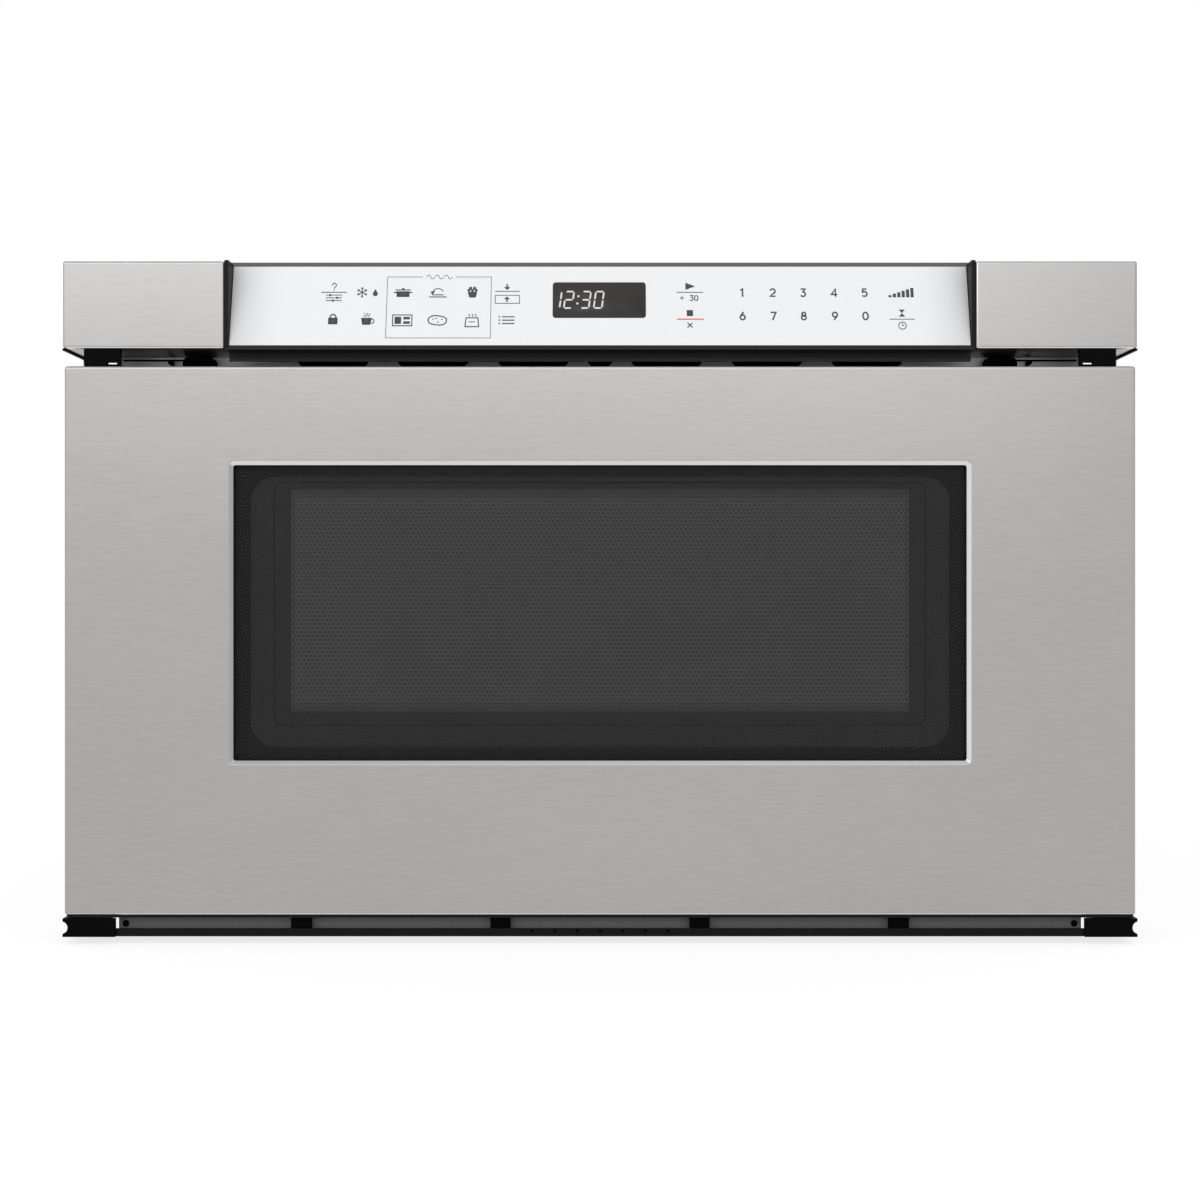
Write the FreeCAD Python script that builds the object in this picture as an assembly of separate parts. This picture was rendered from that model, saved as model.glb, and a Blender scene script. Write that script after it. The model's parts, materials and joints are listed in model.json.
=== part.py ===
"""Microwave drawer for a 562 x 376 mm cabinet cut-out, closed, as an assembly of separate pieces.

Millimetres. +Z is up and the drawer opens towards -Y. X = 0 is the middle of the width and
Y = 0 the middle of the depth. Z = 0 is the surface that the skids and the flange stand on.
Names of levels: *_Z0 is a lower face, *_Z1 an upper face, *_Y a place along the depth.
"""
import FreeCAD, Part
import math
import os

# ---------------------------------------------------------------- driving dimensions
# Overall size
WIDTH = 606.4
HEIGHT = 391.3
DEPTH = 590.6

# Front: heights of the visible pieces from the bottom up
FLANGE_SETBACK = 38.0
TRIM_RISE = 4.0
TRIM_LIP_H = 4.5
DOOR_GAP_BELOW = 12.4
DOOR_H = 309.7
TOP_GAP = 9.9
END_PANEL_H = 49.4
END_PANEL_W = 91.1
FRONT_SHEET = 1.0
FRONT_GAP = 0.3

# Casing
FLANGE_OVERLAP = 25.2
TOP_CLEAR = 10.0
MACHINE_SPACE = 107.2
SHEET = 1.0
SKID_H = 3.0
SKID_W = 24.0
SKID_INSET = 88.0
FLANGE_T = 1.2
RIM_EXTRA = 0.5
RIM_CLEAR = 3.0
SCREW_HEAD_H = 2.2
SCREW_SLOT_LEN = 9.0
SCREW_SLOT_W = 5.0
SCREW_SLOT_INSET = 16.0
SCREW_SLOT_LOW_Z = 60.0

# Cooking cavity and pan
SIDE_SPACE = 52.0
CAV_Z0 = 98.0
CAV_BELOW_DOOR_TOP = 36.1
CAV_WALL = 1.0
PAN_SIDE_GAP = 5.0
PAN_BACK_GAP = 22.2
PAN_FLOOR_GAP = 4.0
PAN_TOP_GAP = 39.0
PAN_WALL = 1.0
TRAY_T = 5.0
TRAY_CORNER_R = 14.0
TRAY_CLEAR = 9.0

# Door
DOOR_BACK_GAP = 2.0
DOOR_SIDE_STEP = 1.0
DOOR_RETURN = 14.0
DOOR_UNDER_LIP = 1.7
WINDOW_SIDE = 95.3
WINDOW_LOW = 87.8
WINDOW_HIGH = 56.7
BEVEL_SIDE = 2.0
BEVEL_TALL = 3.2
BEVEL_DEEP = 2.6
GLASS_T = 4.0
GLASS_LAP = 4.0
SCREEN_T = 0.8
CHOKE_T = 4.0
CHOKE_LAP = 12.0
FRAME_WALL = 2.5

# Control panel
PANEL_TILT = 15.0
PANEL_LOW = 0.6
PANEL_RISE = 1.8
PANEL_EDGE = 2.5
PANEL_GLASS_T = 3.0
PANEL_LEDGE = 6.0
PANEL_SKIRT_BACK = 12.0
PANEL_SKIRT_T = 1.5
PANEL_SKIRT_H = 5.0
DISPLAY_HALF_W = 26.4
DISPLAY_H = 20.1
DISPLAY_T = 9.0
DISPLAY_RISE = 3.3
BOARD_T = 1.6

# Exhaust
VENT_PITCH = 58.7
VENT_W = 41.0
VENT_SMALL_W = 14.0
VENT_LOW = 5.0
VENT_H = 8.4
VENT_CHAMFER = 2.0

# Drawer slides, three telescoping members, seen end-on
SLIDE_START = 2.0
SLIDE_PAST_CAVITY = 11.0
SLIDE_H = 45.5
SLIDE_T = 12.7
SLIDE_SHEET = 1.2
SLIDE_Z = 53.0
SLIDE_INSET = 50.7
BALL_R = 1.9
BALL_GAP = 0.3
BALL_PITCH = 26.0
BALLS_PER_ROW = 9
CAGE_T = 0.5

# Carriers, racks and the drive; the last of the pan stays inside when the drawer is out
PAN_STAYS_IN = 40.0
CARRIER_SHEET = 1.5
CARRIER_Z0 = 30.0
CARRIER_Z1 = 85.0
CARRIER_LEDGE = 26.0
RACK_W = 11.5
RACK_BODY = 7.0
MODULE = 1.5
PRESSURE_ANGLE = 20.0
BACKLASH = 0.3
PINION_TEETH = 18
GEAR_TEETH = 36
GEAR_W = 11.0
SHAFT_R = 5.0
MOTOR_SHAFT_R = 4.0
RUNNING = 0.05
SHAFT_BACK = 32.0
RACK_PITCH_Z = 59.0
BEARING_W = 10.0

# Microwave feed above the cavity
ANTENNA_Y = -35.0
ANTENNA_WELL_R = 95.0
ANTENNA_WELL_H = 18.0
ANTENNA_R = 78.0
ANTENNA_HOLE_R = 13.0
ANTENNA_STEM_R = 4.0
GUIDE_HALF_W = 43.0
GUIDE_H = 36.0
GUIDE_NOSE = 50.0
COVER_T = 1.2
STIR_MOTOR_R = 22.0
STIR_MOTOR_H = 16.0

# Power pieces behind the cavity
MAGNETRON_HALF_W = 40.0
MAGNETRON_D = 76.0
MAGNETRON_H = 66.0
ANODE_R = 19.0
MAGNET_R = 27.0
MAGNET_H = 11.0
FIN_T = 0.6
FIN_COUNT = 6
CORE_W = 100.0
CORE_D = 80.0
CORE_H = 90.0
CORE_INSET = 103.0
COIL_OUT = 12.0
CAPACITOR_W = 52.0
CAPACITOR_D = 33.0
CAPACITOR_H = 105.0
CAPACITOR_INSET = 63.0
FAN_R = 41.0
FAN_TIP_GAP = 2.0
FAN_W = 36.0
FAN_X = 100.0
FAN_SHAFT_R = 3.0
FAN_BLADES = 7
FAN_HUB_R = 14.0
GLAND_R = 9.0
GLAND_BORE_R = 4.5
GLAND_INSET = 88.0
GLAND_BELOW_TOP = 41.0

# ---------------------------------------------------------------- derived levels and places
FRONT_Y = -DEPTH / 2
BACK_Y = DEPTH / 2 - SCREW_HEAD_H
FLANGE_Y = FRONT_Y + FLANGE_SETBACK
FLANGE_BACK = FLANGE_Y + FLANGE_T
HALF_W = WIDTH / 2

DOOR_Z0 = TRIM_RISE + DOOR_GAP_BELOW
DOOR_Z1 = DOOR_Z0 + DOOR_H
DOOR_HALF_W = HALF_W - DOOR_SIDE_STEP
DOOR_BACK = FLANGE_Y - DOOR_BACK_GAP
FRAME_BACK = DOOR_BACK - CHOKE_T
WINDOW_HALF_W = DOOR_HALF_W - WINDOW_SIDE
WINDOW_Z0 = DOOR_Z0 + WINDOW_LOW
WINDOW_Z1 = DOOR_Z1 - WINDOW_HIGH
GLASS_Y0 = FRONT_Y + BEVEL_DEEP
GLASS_Y1 = GLASS_Y0 + GLASS_T
PANEL_HALF_W = HALF_W - END_PANEL_W - FRONT_GAP
END_Z0 = DOOR_Z1 + TOP_GAP
END_Z1 = END_Z0 + END_PANEL_H
PANEL_Z0 = END_Z0 - PANEL_LOW
PANEL_Z1 = END_Z1 + PANEL_RISE
PANEL_SLOPE = math.tan(math.radians(PANEL_TILT))
VENT_Z0 = END_Z0 - VENT_LOW

BODY_HALF_W = HALF_W - FLANGE_OVERLAP
CAV_HALF_W = BODY_HALF_W - SIDE_SPACE
CAV_Z1 = DOOR_Z1 - CAV_BELOW_DOOR_TOP
CAV_DEPTH = BACK_Y - SHEET - MACHINE_SPACE - FLANGE_BACK
CAV_BACK = FLANGE_BACK + CAV_DEPTH
BASE_TOP = SKID_H + SHEET
PAN_HALF_W = CAV_HALF_W - PAN_SIDE_GAP - PAN_WALL
PAN_Z0 = CAV_Z0 + PAN_FLOOR_GAP
PAN_FLOOR = PAN_Z0 + PAN_WALL
PAN_Z1 = CAV_Z1 - PAN_TOP_GAP
PAN_BACK = CAV_BACK - PAN_BACK_GAP - PAN_WALL
PAN_DEPTH = PAN_BACK - DOOR_BACK
TRAVEL = PAN_DEPTH - PAN_STAYS_IN

PITCH_R = MODULE * PINION_TEETH / 2
GEAR_PITCH_R = MODULE * GEAR_TEETH / 2
SHAFT_Y = FLANGE_BACK + SHAFT_BACK
SHAFT_Z = RACK_PITCH_Z - PITCH_R
MOTOR_Y = SHAFT_Y + PITCH_R + GEAR_PITCH_R
RACK_ROOT_Z = RACK_PITCH_Z + 1.25 * MODULE
SLIDE_X = BODY_HALF_W - SLIDE_INSET
SLIDE_Y0 = FLANGE_BACK + SLIDE_START
SLIDE_LEN = CAV_DEPTH - SLIDE_START + SLIDE_PAST_CAVITY
SLIDE_Y1 = SLIDE_Y0 + SLIDE_LEN
CARRIER_X = SLIDE_X - CARRIER_SHEET
RACK_X = CARRIER_X - RACK_W
BRACKET_X = SLIDE_X + SLIDE_T
RACK_FRONT = SHAFT_Y - 12.0
RACK_BACK = SHAFT_Y + TRAVEL + 12.0
SLOT_CLEAR = 3.0

WELL_Z0 = CAV_Z1 + CAV_WALL
GUIDE_Z0 = WELL_Z0 + ANTENNA_WELL_H
GUIDE_Z1 = GUIDE_Z0 + GUIDE_H
BODY_TOP = GUIDE_Z1 + STIR_MOTOR_H + TOP_CLEAR
MAGNETRON_Y = (CAV_BACK + BACK_Y) / 2
MAGNETRON_Z1 = GUIDE_Z0
MAGNETRON_Z0 = MAGNETRON_Z1 - MAGNETRON_H
FAN_Z = MAGNETRON_Z0 + MAGNETRON_H / 2
FAN_BORE_R = FAN_R + FAN_TIP_GAP
FAN_HALF = FAN_BORE_R + 3.0
CORE_X = -(BODY_HALF_W - CORE_INSET)
CAPACITOR_X = BODY_HALF_W - CAPACITOR_INSET
GLAND_X = -(BODY_HALF_W - GLAND_INSET)
GLAND_Z = BODY_TOP - GLAND_BELOW_TOP
SKID_X = BODY_HALF_W - SKID_INSET

X = FreeCAD.Vector(1, 0, 0)
Y = FreeCAD.Vector(0, 1, 0)
Z = FreeCAD.Vector(0, 0, 1)


# ---------------------------------------------------------------- helpers
def box(x0, x1, y0, y1, z0, z1):
    """Block between two corners."""
    return Part.makeBox(x1 - x0, y1 - y0, z1 - z0, FreeCAD.Vector(x0, y0, z0))


def rod(radius, start, end):
    """Round bar between two points."""
    a = FreeCAD.Vector(*start)
    b = FreeCAD.Vector(*end)
    return Part.makeCylinder(radius, (b - a).Length, a, b - a)


def tube(outer, inner, start, end):
    """Round bar with a hole along it."""
    return rod(outer, start, end).cut(rod(inner, start, end))


def fused(shapes):
    """One solid from several that overlap or touch."""
    first, *others = shapes
    return first.fuse(others).removeSplitter() if others else first


def mirrored(shape):
    """Copy on the other side of the middle plane."""
    return shape.mirror(FreeCAD.Vector(0, 0, 0), X)


def pair(shape):
    """The piece and its mirror image."""
    return [shape, mirrored(shape)]


def prism_x(points, x0, x1):
    """Outline in Y and Z, drawn out along X."""
    corners = [FreeCAD.Vector(x0, y, z) for y, z in points]
    return Part.Face(Part.makePolygon(corners + corners[:1])).extrude(X * (x1 - x0))


def prism_y(points, y0, y1):
    """Outline in X and Z, drawn out along Y."""
    corners = [FreeCAD.Vector(x, y0, z) for x, z in points]
    return Part.Face(Part.makePolygon(corners + corners[:1])).extrude(Y * (y1 - y0))


def upright_edges(shape):
    """Straight edges that stand along Z."""
    return [e for e in shape.Edges if abs(e.tangentAt(e.FirstParameter).z) > 0.999]


def rounded_box(x0, x1, y0, y1, z0, z1, radius):
    """Block with its four upright edges rounded."""
    block = box(x0, x1, y0, y1, z0, z1)
    return block.makeFillet(radius, upright_edges(block))


def spread(count, pitch, centre=0.0):
    """Evenly spaced places about a centre."""
    return [centre + (i - (count - 1) / 2) * pitch for i in range(count)]


def save(name, shapes):
    """Write one named piece, or one group of like pieces, to its own file."""
    solids = shapes if isinstance(shapes, list) else [shapes]
    shape = Part.makeCompound(solids)
    if not shape.isValid():
        raise ValueError(name + " is not valid")
    shape.exportStep("parts/" + name + ".step")
    print(f"{name:24s} solids {len(shape.Solids):3d}  volume {shape.Volume / 1000:9.2f} cm3")


# ---------------------------------------------------------------- gears
def gear_radii(teeth):
    """Pitch, base, tip and root radius of a gear."""
    pitch = MODULE * teeth / 2
    base = pitch * math.cos(math.radians(PRESSURE_ANGLE))
    return pitch, base, pitch + MODULE, pitch - 1.25 * MODULE


def involute(angle):
    return math.tan(angle) - angle


def gear(teeth, centre_y, centre_z, x0, x1, turn=0.0):
    """Spur gear about X; one tooth points along +Y, or as many degrees on as it is turned."""
    pitch, base, tip, root = gear_radii(teeth)
    half_tooth = math.pi / (2 * teeth) - BACKLASH / (4 * pitch)
    at_pitch = half_tooth + involute(math.radians(PRESSURE_ANGLE))

    def flank(radius):
        return at_pitch - involute(math.acos(min(1.0, base / radius)))

    def point(radius, angle):
        return FreeCAD.Vector(x0, centre_y + radius * math.cos(angle),
                              centre_z + radius * math.sin(angle))

    foot = max(base, root)
    radii = [foot + (tip - foot) * i / 4 for i in range(5)]
    edges = []
    for i in range(teeth):
        middle = 2 * math.pi * i / teeth + math.radians(turn)
        gap = middle + math.pi / teeth
        following = middle + 2 * math.pi / teeth
        rising = [point(r, middle - flank(r)) for r in radii]
        falling = [point(r, middle + flank(r)) for r in reversed(radii)]
        rise = Part.BSplineCurve()
        rise.interpolate(rising)
        fall = Part.BSplineCurve()
        fall.interpolate(falling)
        root_start = point(root, middle + flank(foot))
        root_end = point(root, following - flank(foot))
        edges.append(rise.toShape())
        edges.append(Part.Arc(rising[-1], point(tip, middle), falling[0]).toShape())
        edges.append(fall.toShape())
        if foot > root:
            edges.append(Part.makeLine(falling[-1], root_start))
        edges.append(Part.Arc(root_start, point(root, gap), root_end).toShape())
        if foot > root:
            edges.append(Part.makeLine(root_end, point(foot, following - flank(foot))))
    face = Part.Face(Part.Wire(edges))
    return face.extrude(X * (x1 - x0))


def rack(x0, x1):
    """Straight rack with its teeth down, one tooth over the shaft."""
    pitch = math.pi * MODULE
    lean = math.tan(math.radians(PRESSURE_ANGLE))
    half = pitch / 4 - BACKLASH / 4
    tip_z = RACK_PITCH_Z - MODULE
    half_tip = half - MODULE * lean
    half_root = half + 1.25 * MODULE * lean
    first = math.ceil((RACK_FRONT + pitch / 2 - SHAFT_Y) / pitch)
    last = math.floor((RACK_BACK - pitch / 2 - SHAFT_Y) / pitch)
    outline = [(RACK_FRONT, RACK_ROOT_Z)]
    for i in range(first, last + 1):
        y = SHAFT_Y + i * pitch
        outline.append((y - half_root, RACK_ROOT_Z))
        outline.append((y - half_tip, tip_z))
        outline.append((y + half_tip, tip_z))
        outline.append((y + half_root, RACK_ROOT_Z))
    outline.append((RACK_BACK, RACK_ROOT_Z))
    outline.append((RACK_BACK, RACK_ROOT_Z + RACK_BODY))
    outline.append((RACK_FRONT, RACK_ROOT_Z + RACK_BODY))
    return prism_x(outline, x0, x1)


# ---------------------------------------------------------------- casing
REAR_LIP_W = 12.0
SLOT_W = 4.0
SLOT_PITCH = 9.0
LOUVRE_H = 40.0
LOUVRE_RISE = 24.0
COVER_SCREW_R = 1.9
COVER_SCREW_LEN = 8.0
COVER_SCREW_PITCH = 105.0
COVER_SCREW_ZS = spread(4, COVER_SCREW_PITCH, (BASE_TOP + BODY_TOP) / 2)
COVER_SCREW_X = BODY_HALF_W - SHEET - REAR_LIP_W / 2


def base_plate():
    plate = box(-BODY_HALF_W, BODY_HALF_W, FLANGE_BACK, BACK_Y, SKID_H, BASE_TOP)
    skids = [box(side * SKID_X - SKID_W / 2, side * SKID_X + SKID_W / 2,
                 FLANGE_BACK, BACK_Y, 0, SKID_H) for side in (-1, 1)]
    return fused([plate] + skids)


def side_panel():
    """Right side sheet with an inward lip that takes the rear cover's screws."""
    inner = BODY_HALF_W - SHEET
    wall = box(inner, BODY_HALF_W, FLANGE_BACK, BACK_Y - SHEET, BASE_TOP, BODY_TOP)
    lip = box(inner - REAR_LIP_W, inner, BACK_Y - 2 * SHEET, BACK_Y - SHEET, BASE_TOP, BODY_TOP)
    panel = fused([wall, lip])
    for z in COVER_SCREW_ZS:
        panel = panel.cut(cover_screw_hole(COVER_SCREW_X, z))
    louvres = [box(inner - 1, BODY_HALF_W + 1, y - SLOT_W / 2, y + SLOT_W / 2,
                   FAN_Z + LOUVRE_RISE, FAN_Z + LOUVRE_RISE + LOUVRE_H)
               for y in spread(9, SLOT_PITCH, MAGNETRON_Y - FAN_HUB_R)]
    return panel.cut(louvres)


def cover_screw_hole(x, z):
    return rod(COVER_SCREW_R + RUNNING, (x, BACK_Y - 3 * SHEET, z), (x, BACK_Y + SHEET, z))


def top_cover():
    cover = box(-BODY_HALF_W, BODY_HALF_W, FLANGE_BACK, BACK_Y - SHEET, BODY_TOP, BODY_TOP + SHEET)
    slots = [box(x - SLOT_W / 2, x + SLOT_W / 2, MAGNETRON_Y - LOUVRE_H / 2,
                 MAGNETRON_Y + LOUVRE_H / 2, BODY_TOP - 1, BODY_TOP + 2)
             for x in spread(16, SLOT_PITCH, FAN_X + 2 * FAN_W)]
    return cover.cut(slots)


def rear_cover():
    cover = box(-BODY_HALF_W, BODY_HALF_W, BACK_Y - SHEET, BACK_Y, BASE_TOP, BODY_TOP + SHEET)
    half_slot = FAN_HALF / 2
    grille = [box(x - SLOT_W / 2, x + SLOT_W / 2, BACK_Y - 2, BACK_Y + 1, z - half_slot, z + half_slot)
              for x in spread(14, SLOT_PITCH, FAN_X + 2 * FAN_W)
              for z in spread(2, FAN_HALF * 1.25, FAN_Z)]
    gland_hole = rod(GLAND_R, (GLAND_X, BACK_Y - 2, GLAND_Z), (GLAND_X, BACK_Y + 1, GLAND_Z))
    screws = [cover_screw_hole(side * COVER_SCREW_X, z) for side in (-1, 1) for z in COVER_SCREW_ZS]
    return cover.cut(grille + screws + [gland_hole])


def cover_screws():
    """Pan-head screws that hold the rear cover to the side panels."""
    heads = []
    for side in (-1, 1):
        for z in COVER_SCREW_ZS:
            x = side * COVER_SCREW_X
            shank = rod(COVER_SCREW_R, (x, BACK_Y - COVER_SCREW_LEN, z), (x, BACK_Y, z))
            radius = SCREW_HEAD_H * 2.1
            ball = Part.makeSphere(radius, FreeCAD.Vector(x, BACK_Y + SCREW_HEAD_H - radius, z))
            head = ball.common(box(x - radius, x + radius, BACK_Y, BACK_Y + radius,
                                   z - radius, z + radius))
            heads.append(fused([shank, head]))
    return heads


def cord_gland():
    """Strain relief bush for a power cord, empty: flanges either side of the rear cover."""
    neck = rod(GLAND_R - RUNNING, (GLAND_X, BACK_Y - SHEET, GLAND_Z), (GLAND_X, BACK_Y, GLAND_Z))
    inner = rod(GLAND_R + 2, (GLAND_X, BACK_Y - 12, GLAND_Z), (GLAND_X, BACK_Y - SHEET, GLAND_Z))
    bush = fused([neck, inner])
    bore = rod(GLAND_BORE_R, (GLAND_X, BACK_Y - 13, GLAND_Z), (GLAND_X, BACK_Y + 1, GLAND_Z))
    return bush.cut(bore)


# ---------------------------------------------------------------- front flange
CARRIER_SLOT_X0 = CARRIER_X - CARRIER_LEDGE - SLOT_CLEAR
CARRIER_SLOT_X1 = BRACKET_X + 0.6
CARRIER_SLOT_Z0 = CARRIER_Z0 - SLOT_CLEAR
CARRIER_SLOT_Z1 = CARRIER_Z1 + SLOT_CLEAR
LATCH_X = CAV_HALF_W + 26.0
LATCH_Z = CAV_Z1 + 10.0
LATCH_W = 6.0
LATCH_H = 8.0
LATCH_REACH = 24.0
LATCH_SLOT_GAP = 3.0
VENT_XS = [x for x in spread(7, VENT_PITCH) if abs(x) > 1]


def vent_hole(x, width, y0, y1, z1):
    """Exhaust opening with its lower corners cut off."""
    half = width / 2
    outline = [(x - half + VENT_CHAMFER, VENT_Z0), (x + half - VENT_CHAMFER, VENT_Z0),
               (x + half, VENT_Z0 + VENT_CHAMFER), (x + half, z1),
               (x - half, z1), (x - half, VENT_Z0 + VENT_CHAMFER)]
    return prism_y(outline, y0, y1)


def vent_places():
    """Centre and width of each exhaust opening; the pairs beside the middle sit closer in."""
    wide = [(x - math.copysign(VENT_PITCH / 3, x), VENT_W) for x in VENT_XS]
    return wide + [(0.0, VENT_SMALL_W)]


def screw_slot(x, z, y0, y1):
    reach = SCREW_SLOT_LEN / 2 - SCREW_SLOT_W / 2
    ends = [rod(SCREW_SLOT_W / 2, (x + s * reach, y0, z), (x + s * reach, y1, z)) for s in (-1, 1)]
    middle = box(x - reach, x + reach, y0, y1, z - SCREW_SLOT_W / 2, z + SCREW_SLOT_W / 2)
    return fused(ends + [middle])


SCREW_SLOT_X = HALF_W - SCREW_SLOT_INSET
SCREW_SLOT_HIGH_Z = END_Z0 - 3.0
NOTCH_X0 = BODY_HALF_W + RIM_CLEAR
NOTCH_W = 5.0
NOTCH_H = 8.0
HARNESS_HALF_W = 28.0
HARNESS_Z0 = GUIDE_Z1 + 4.0
HARNESS_Z1 = BODY_TOP - 6.0


def front_flange():
    y0 = FLANGE_Y
    y1 = FLANGE_BACK + RIM_EXTRA
    plate = box(-HALF_W, HALF_W, y0, y1, 0, HEIGHT)
    recess_half = BODY_HALF_W + RIM_CLEAR
    recess = box(-recess_half, recess_half, FLANGE_BACK, y1, 0, BODY_TOP + SHEET + RIM_CLEAR)
    holes = [recess, box(-CAV_HALF_W, CAV_HALF_W, y0, y1, CAV_Z0, CAV_Z1)]
    for side in (-1, 1):
        xs = sorted((side * CARRIER_SLOT_X0, side * CARRIER_SLOT_X1))
        holes.append(box(xs[0], xs[1], y0, y1, CARRIER_SLOT_Z0, CARRIER_SLOT_Z1))
        reach = LATCH_W / 2 + LATCH_SLOT_GAP
        holes.append(box(side * LATCH_X - reach, side * LATCH_X + reach, y0, y1,
                         LATCH_Z - LATCH_H, LATCH_Z + LATCH_H))
        for z in (SCREW_SLOT_LOW_Z, SCREW_SLOT_HIGH_Z):
            holes.append(screw_slot(side * SCREW_SLOT_X, z, y0, y1))
        xs = sorted((side * NOTCH_X0, side * (NOTCH_X0 + NOTCH_W)))
        holes.append(box(xs[0], xs[1], y0, y1, 0, NOTCH_H))
    for x, width in vent_places():
        holes.append(vent_hole(x, width, y0, y1, VENT_Z0 + VENT_H))
    holes.append(box(-HARNESS_HALF_W, HARNESS_HALF_W, y0, y1, HARNESS_Z0, HARNESS_Z1))
    return plate.cut(holes)


# ---------------------------------------------------------------- cavity
LAMP_Y = 60.0
LAMP_Z = CAV_Z1 - 40.0
LAMP_R = 13.0
PERF_R = 2.5
PERF_PITCH = 9.0
AIR_IN_FROM_BACK = 76.4
DUCT_D = 50.0
DUCT_Z1 = VENT_Z0 + VENT_H + 8.0
DUCT_HALF_W = VENT_PITCH * 3 - VENT_PITCH / 3 + VENT_W / 2 + 2.0


def cavity_shell():
    """Oven box of flat sheets welded at their edges, open at the front: floor, roof, sides, back."""
    y0 = FLANGE_BACK
    outer = CAV_HALF_W + CAV_WALL
    floor = box(-outer, outer, y0, CAV_BACK, CAV_Z0 - CAV_WALL, CAV_Z0)
    roof = box(-outer, outer, y0, CAV_BACK, CAV_Z1, WELL_Z0)
    left = box(-outer, -CAV_HALF_W, y0, CAV_BACK, CAV_Z0, CAV_Z1)
    right = box(CAV_HALF_W, outer, y0, CAV_BACK, CAV_Z0, CAV_Z1)
    back = box(-outer, outer, CAV_BACK, CAV_BACK + CAV_WALL, CAV_Z0 - CAV_WALL, WELL_Z0)
    lamp_hole = rod(LAMP_R, (CAV_HALF_W, LAMP_Y, LAMP_Z), (outer, LAMP_Y, LAMP_Z))
    air_in = [rod(PERF_R, (-outer, y, z), (-CAV_HALF_W, y, z))
              for y in spread(8, PERF_PITCH, CAV_BACK - AIR_IN_FROM_BACK)
              for z in spread(3, PERF_PITCH, LAMP_Z)]
    air_out = [rod(PERF_R, (x, y, CAV_Z1), (x, y, WELL_Z0)) for x in spread(15, PERF_PITCH + 3)
               for y in spread(2, PERF_PITCH + 3, y0 + DUCT_D / 2)]
    well_hole = rod(ANTENNA_WELL_R, (0, ANTENNA_Y, CAV_Z1), (0, ANTENNA_Y, WELL_Z0))
    return [floor, roof.cut(air_out + [well_hole]), left.cut(air_in), right.cut(lamp_hole), back]


def exhaust_duct():
    """Box over the roof perforations that leads the steam to the slots in the flange."""
    outer = box(-DUCT_HALF_W, DUCT_HALF_W, FLANGE_BACK, FLANGE_BACK + DUCT_D, WELL_Z0, DUCT_Z1)
    inner = box(-DUCT_HALF_W + SHEET, DUCT_HALF_W - SHEET, FLANGE_BACK,
                FLANGE_BACK + DUCT_D - SHEET, WELL_Z0, DUCT_Z1 - SHEET)
    return outer.cut(inner)


def antenna_well():
    """Round sheet-metal dome on the roof, in which the rotating antenna turns."""
    centre = (0, ANTENNA_Y)
    outer = rod(ANTENNA_WELL_R + SHEET, (*centre, WELL_Z0), (*centre, GUIDE_Z0))
    inner = rod(ANTENNA_WELL_R, (*centre, WELL_Z0), (*centre, GUIDE_Z0 - SHEET))
    hole = rod(ANTENNA_HOLE_R, (*centre, WELL_Z0), (*centre, GUIDE_Z0))
    return outer.cut([inner, hole])


def stirrer_cover():
    """Flat cover under the roof opening, which keeps splashes off the antenna."""
    half = ANTENNA_WELL_R + 10.0
    return rounded_box(-half, half, ANTENNA_Y - half, ANTENNA_Y + half,
                       CAV_Z1 - COVER_T, CAV_Z1, 12.0)


def waveguide():
    """Rectangular tube from the magnetron to the antenna well."""
    y0 = ANTENNA_Y - GUIDE_NOSE
    y1 = MAGNETRON_Y + MAGNETRON_D / 2
    outer = box(-GUIDE_HALF_W, GUIDE_HALF_W, y0, y1, GUIDE_Z0, GUIDE_Z1)
    inner = box(-GUIDE_HALF_W + SHEET, GUIDE_HALF_W - SHEET, y0 + SHEET, y1 - SHEET,
                GUIDE_Z0 + SHEET, GUIDE_Z1 - SHEET)
    down = rod(ANTENNA_HOLE_R, (0, ANTENNA_Y, GUIDE_Z0), (0, ANTENNA_Y, GUIDE_Z0 + SHEET))
    up = rod(ANTENNA_STEM_R + 1, (0, ANTENNA_Y, GUIDE_Z1 - SHEET), (0, ANTENNA_Y, GUIDE_Z1))
    feed = rod(ANODE_R - 2, (0, MAGNETRON_Y, GUIDE_Z0), (0, MAGNETRON_Y, GUIDE_Z0 + SHEET))
    return outer.cut([inner, down, up, feed])


def stirrer_motor():
    """Synchronous motor on the waveguide; its socket holds the antenna's stem."""
    can = rod(STIR_MOTOR_R, (0, ANTENNA_Y, GUIDE_Z1), (0, ANTENNA_Y, GUIDE_Z1 + STIR_MOTOR_H))
    ears = box(-STIR_MOTOR_R - 8, STIR_MOTOR_R + 8, ANTENNA_Y - 5, ANTENNA_Y + 5,
               GUIDE_Z1, GUIDE_Z1 + 1.5)
    socket = rod(ANTENNA_STEM_R + RUNNING, (0, ANTENNA_Y, GUIDE_Z1),
                 (0, ANTENNA_Y, GUIDE_Z1 + STIR_MOTOR_H / 2))
    return fused([can, ears]).cut(socket)


def stirrer_antenna():
    """Flat rotating antenna: a disc with three slots and an upright stem."""
    z0 = WELL_Z0 + ANTENNA_WELL_H / 2 - 4
    disc = rod(ANTENNA_R, (0, ANTENNA_Y, z0), (0, ANTENNA_Y, z0 + 1.5))
    for turn in (0, 120, 240):
        slot = box(18, ANTENNA_R - 12, ANTENNA_Y - 9, ANTENNA_Y + 9, z0 - 1, z0 + 3)
        slot.rotate(FreeCAD.Vector(0, ANTENNA_Y, 0), Z, turn)
        disc = disc.cut(slot)
    stem_top = GUIDE_Z1 + STIR_MOTOR_H / 2 - 0.5
    return fused([disc, rod(ANTENNA_STEM_R, (0, ANTENNA_Y, z0), (0, ANTENNA_Y, stem_top))])


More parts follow.
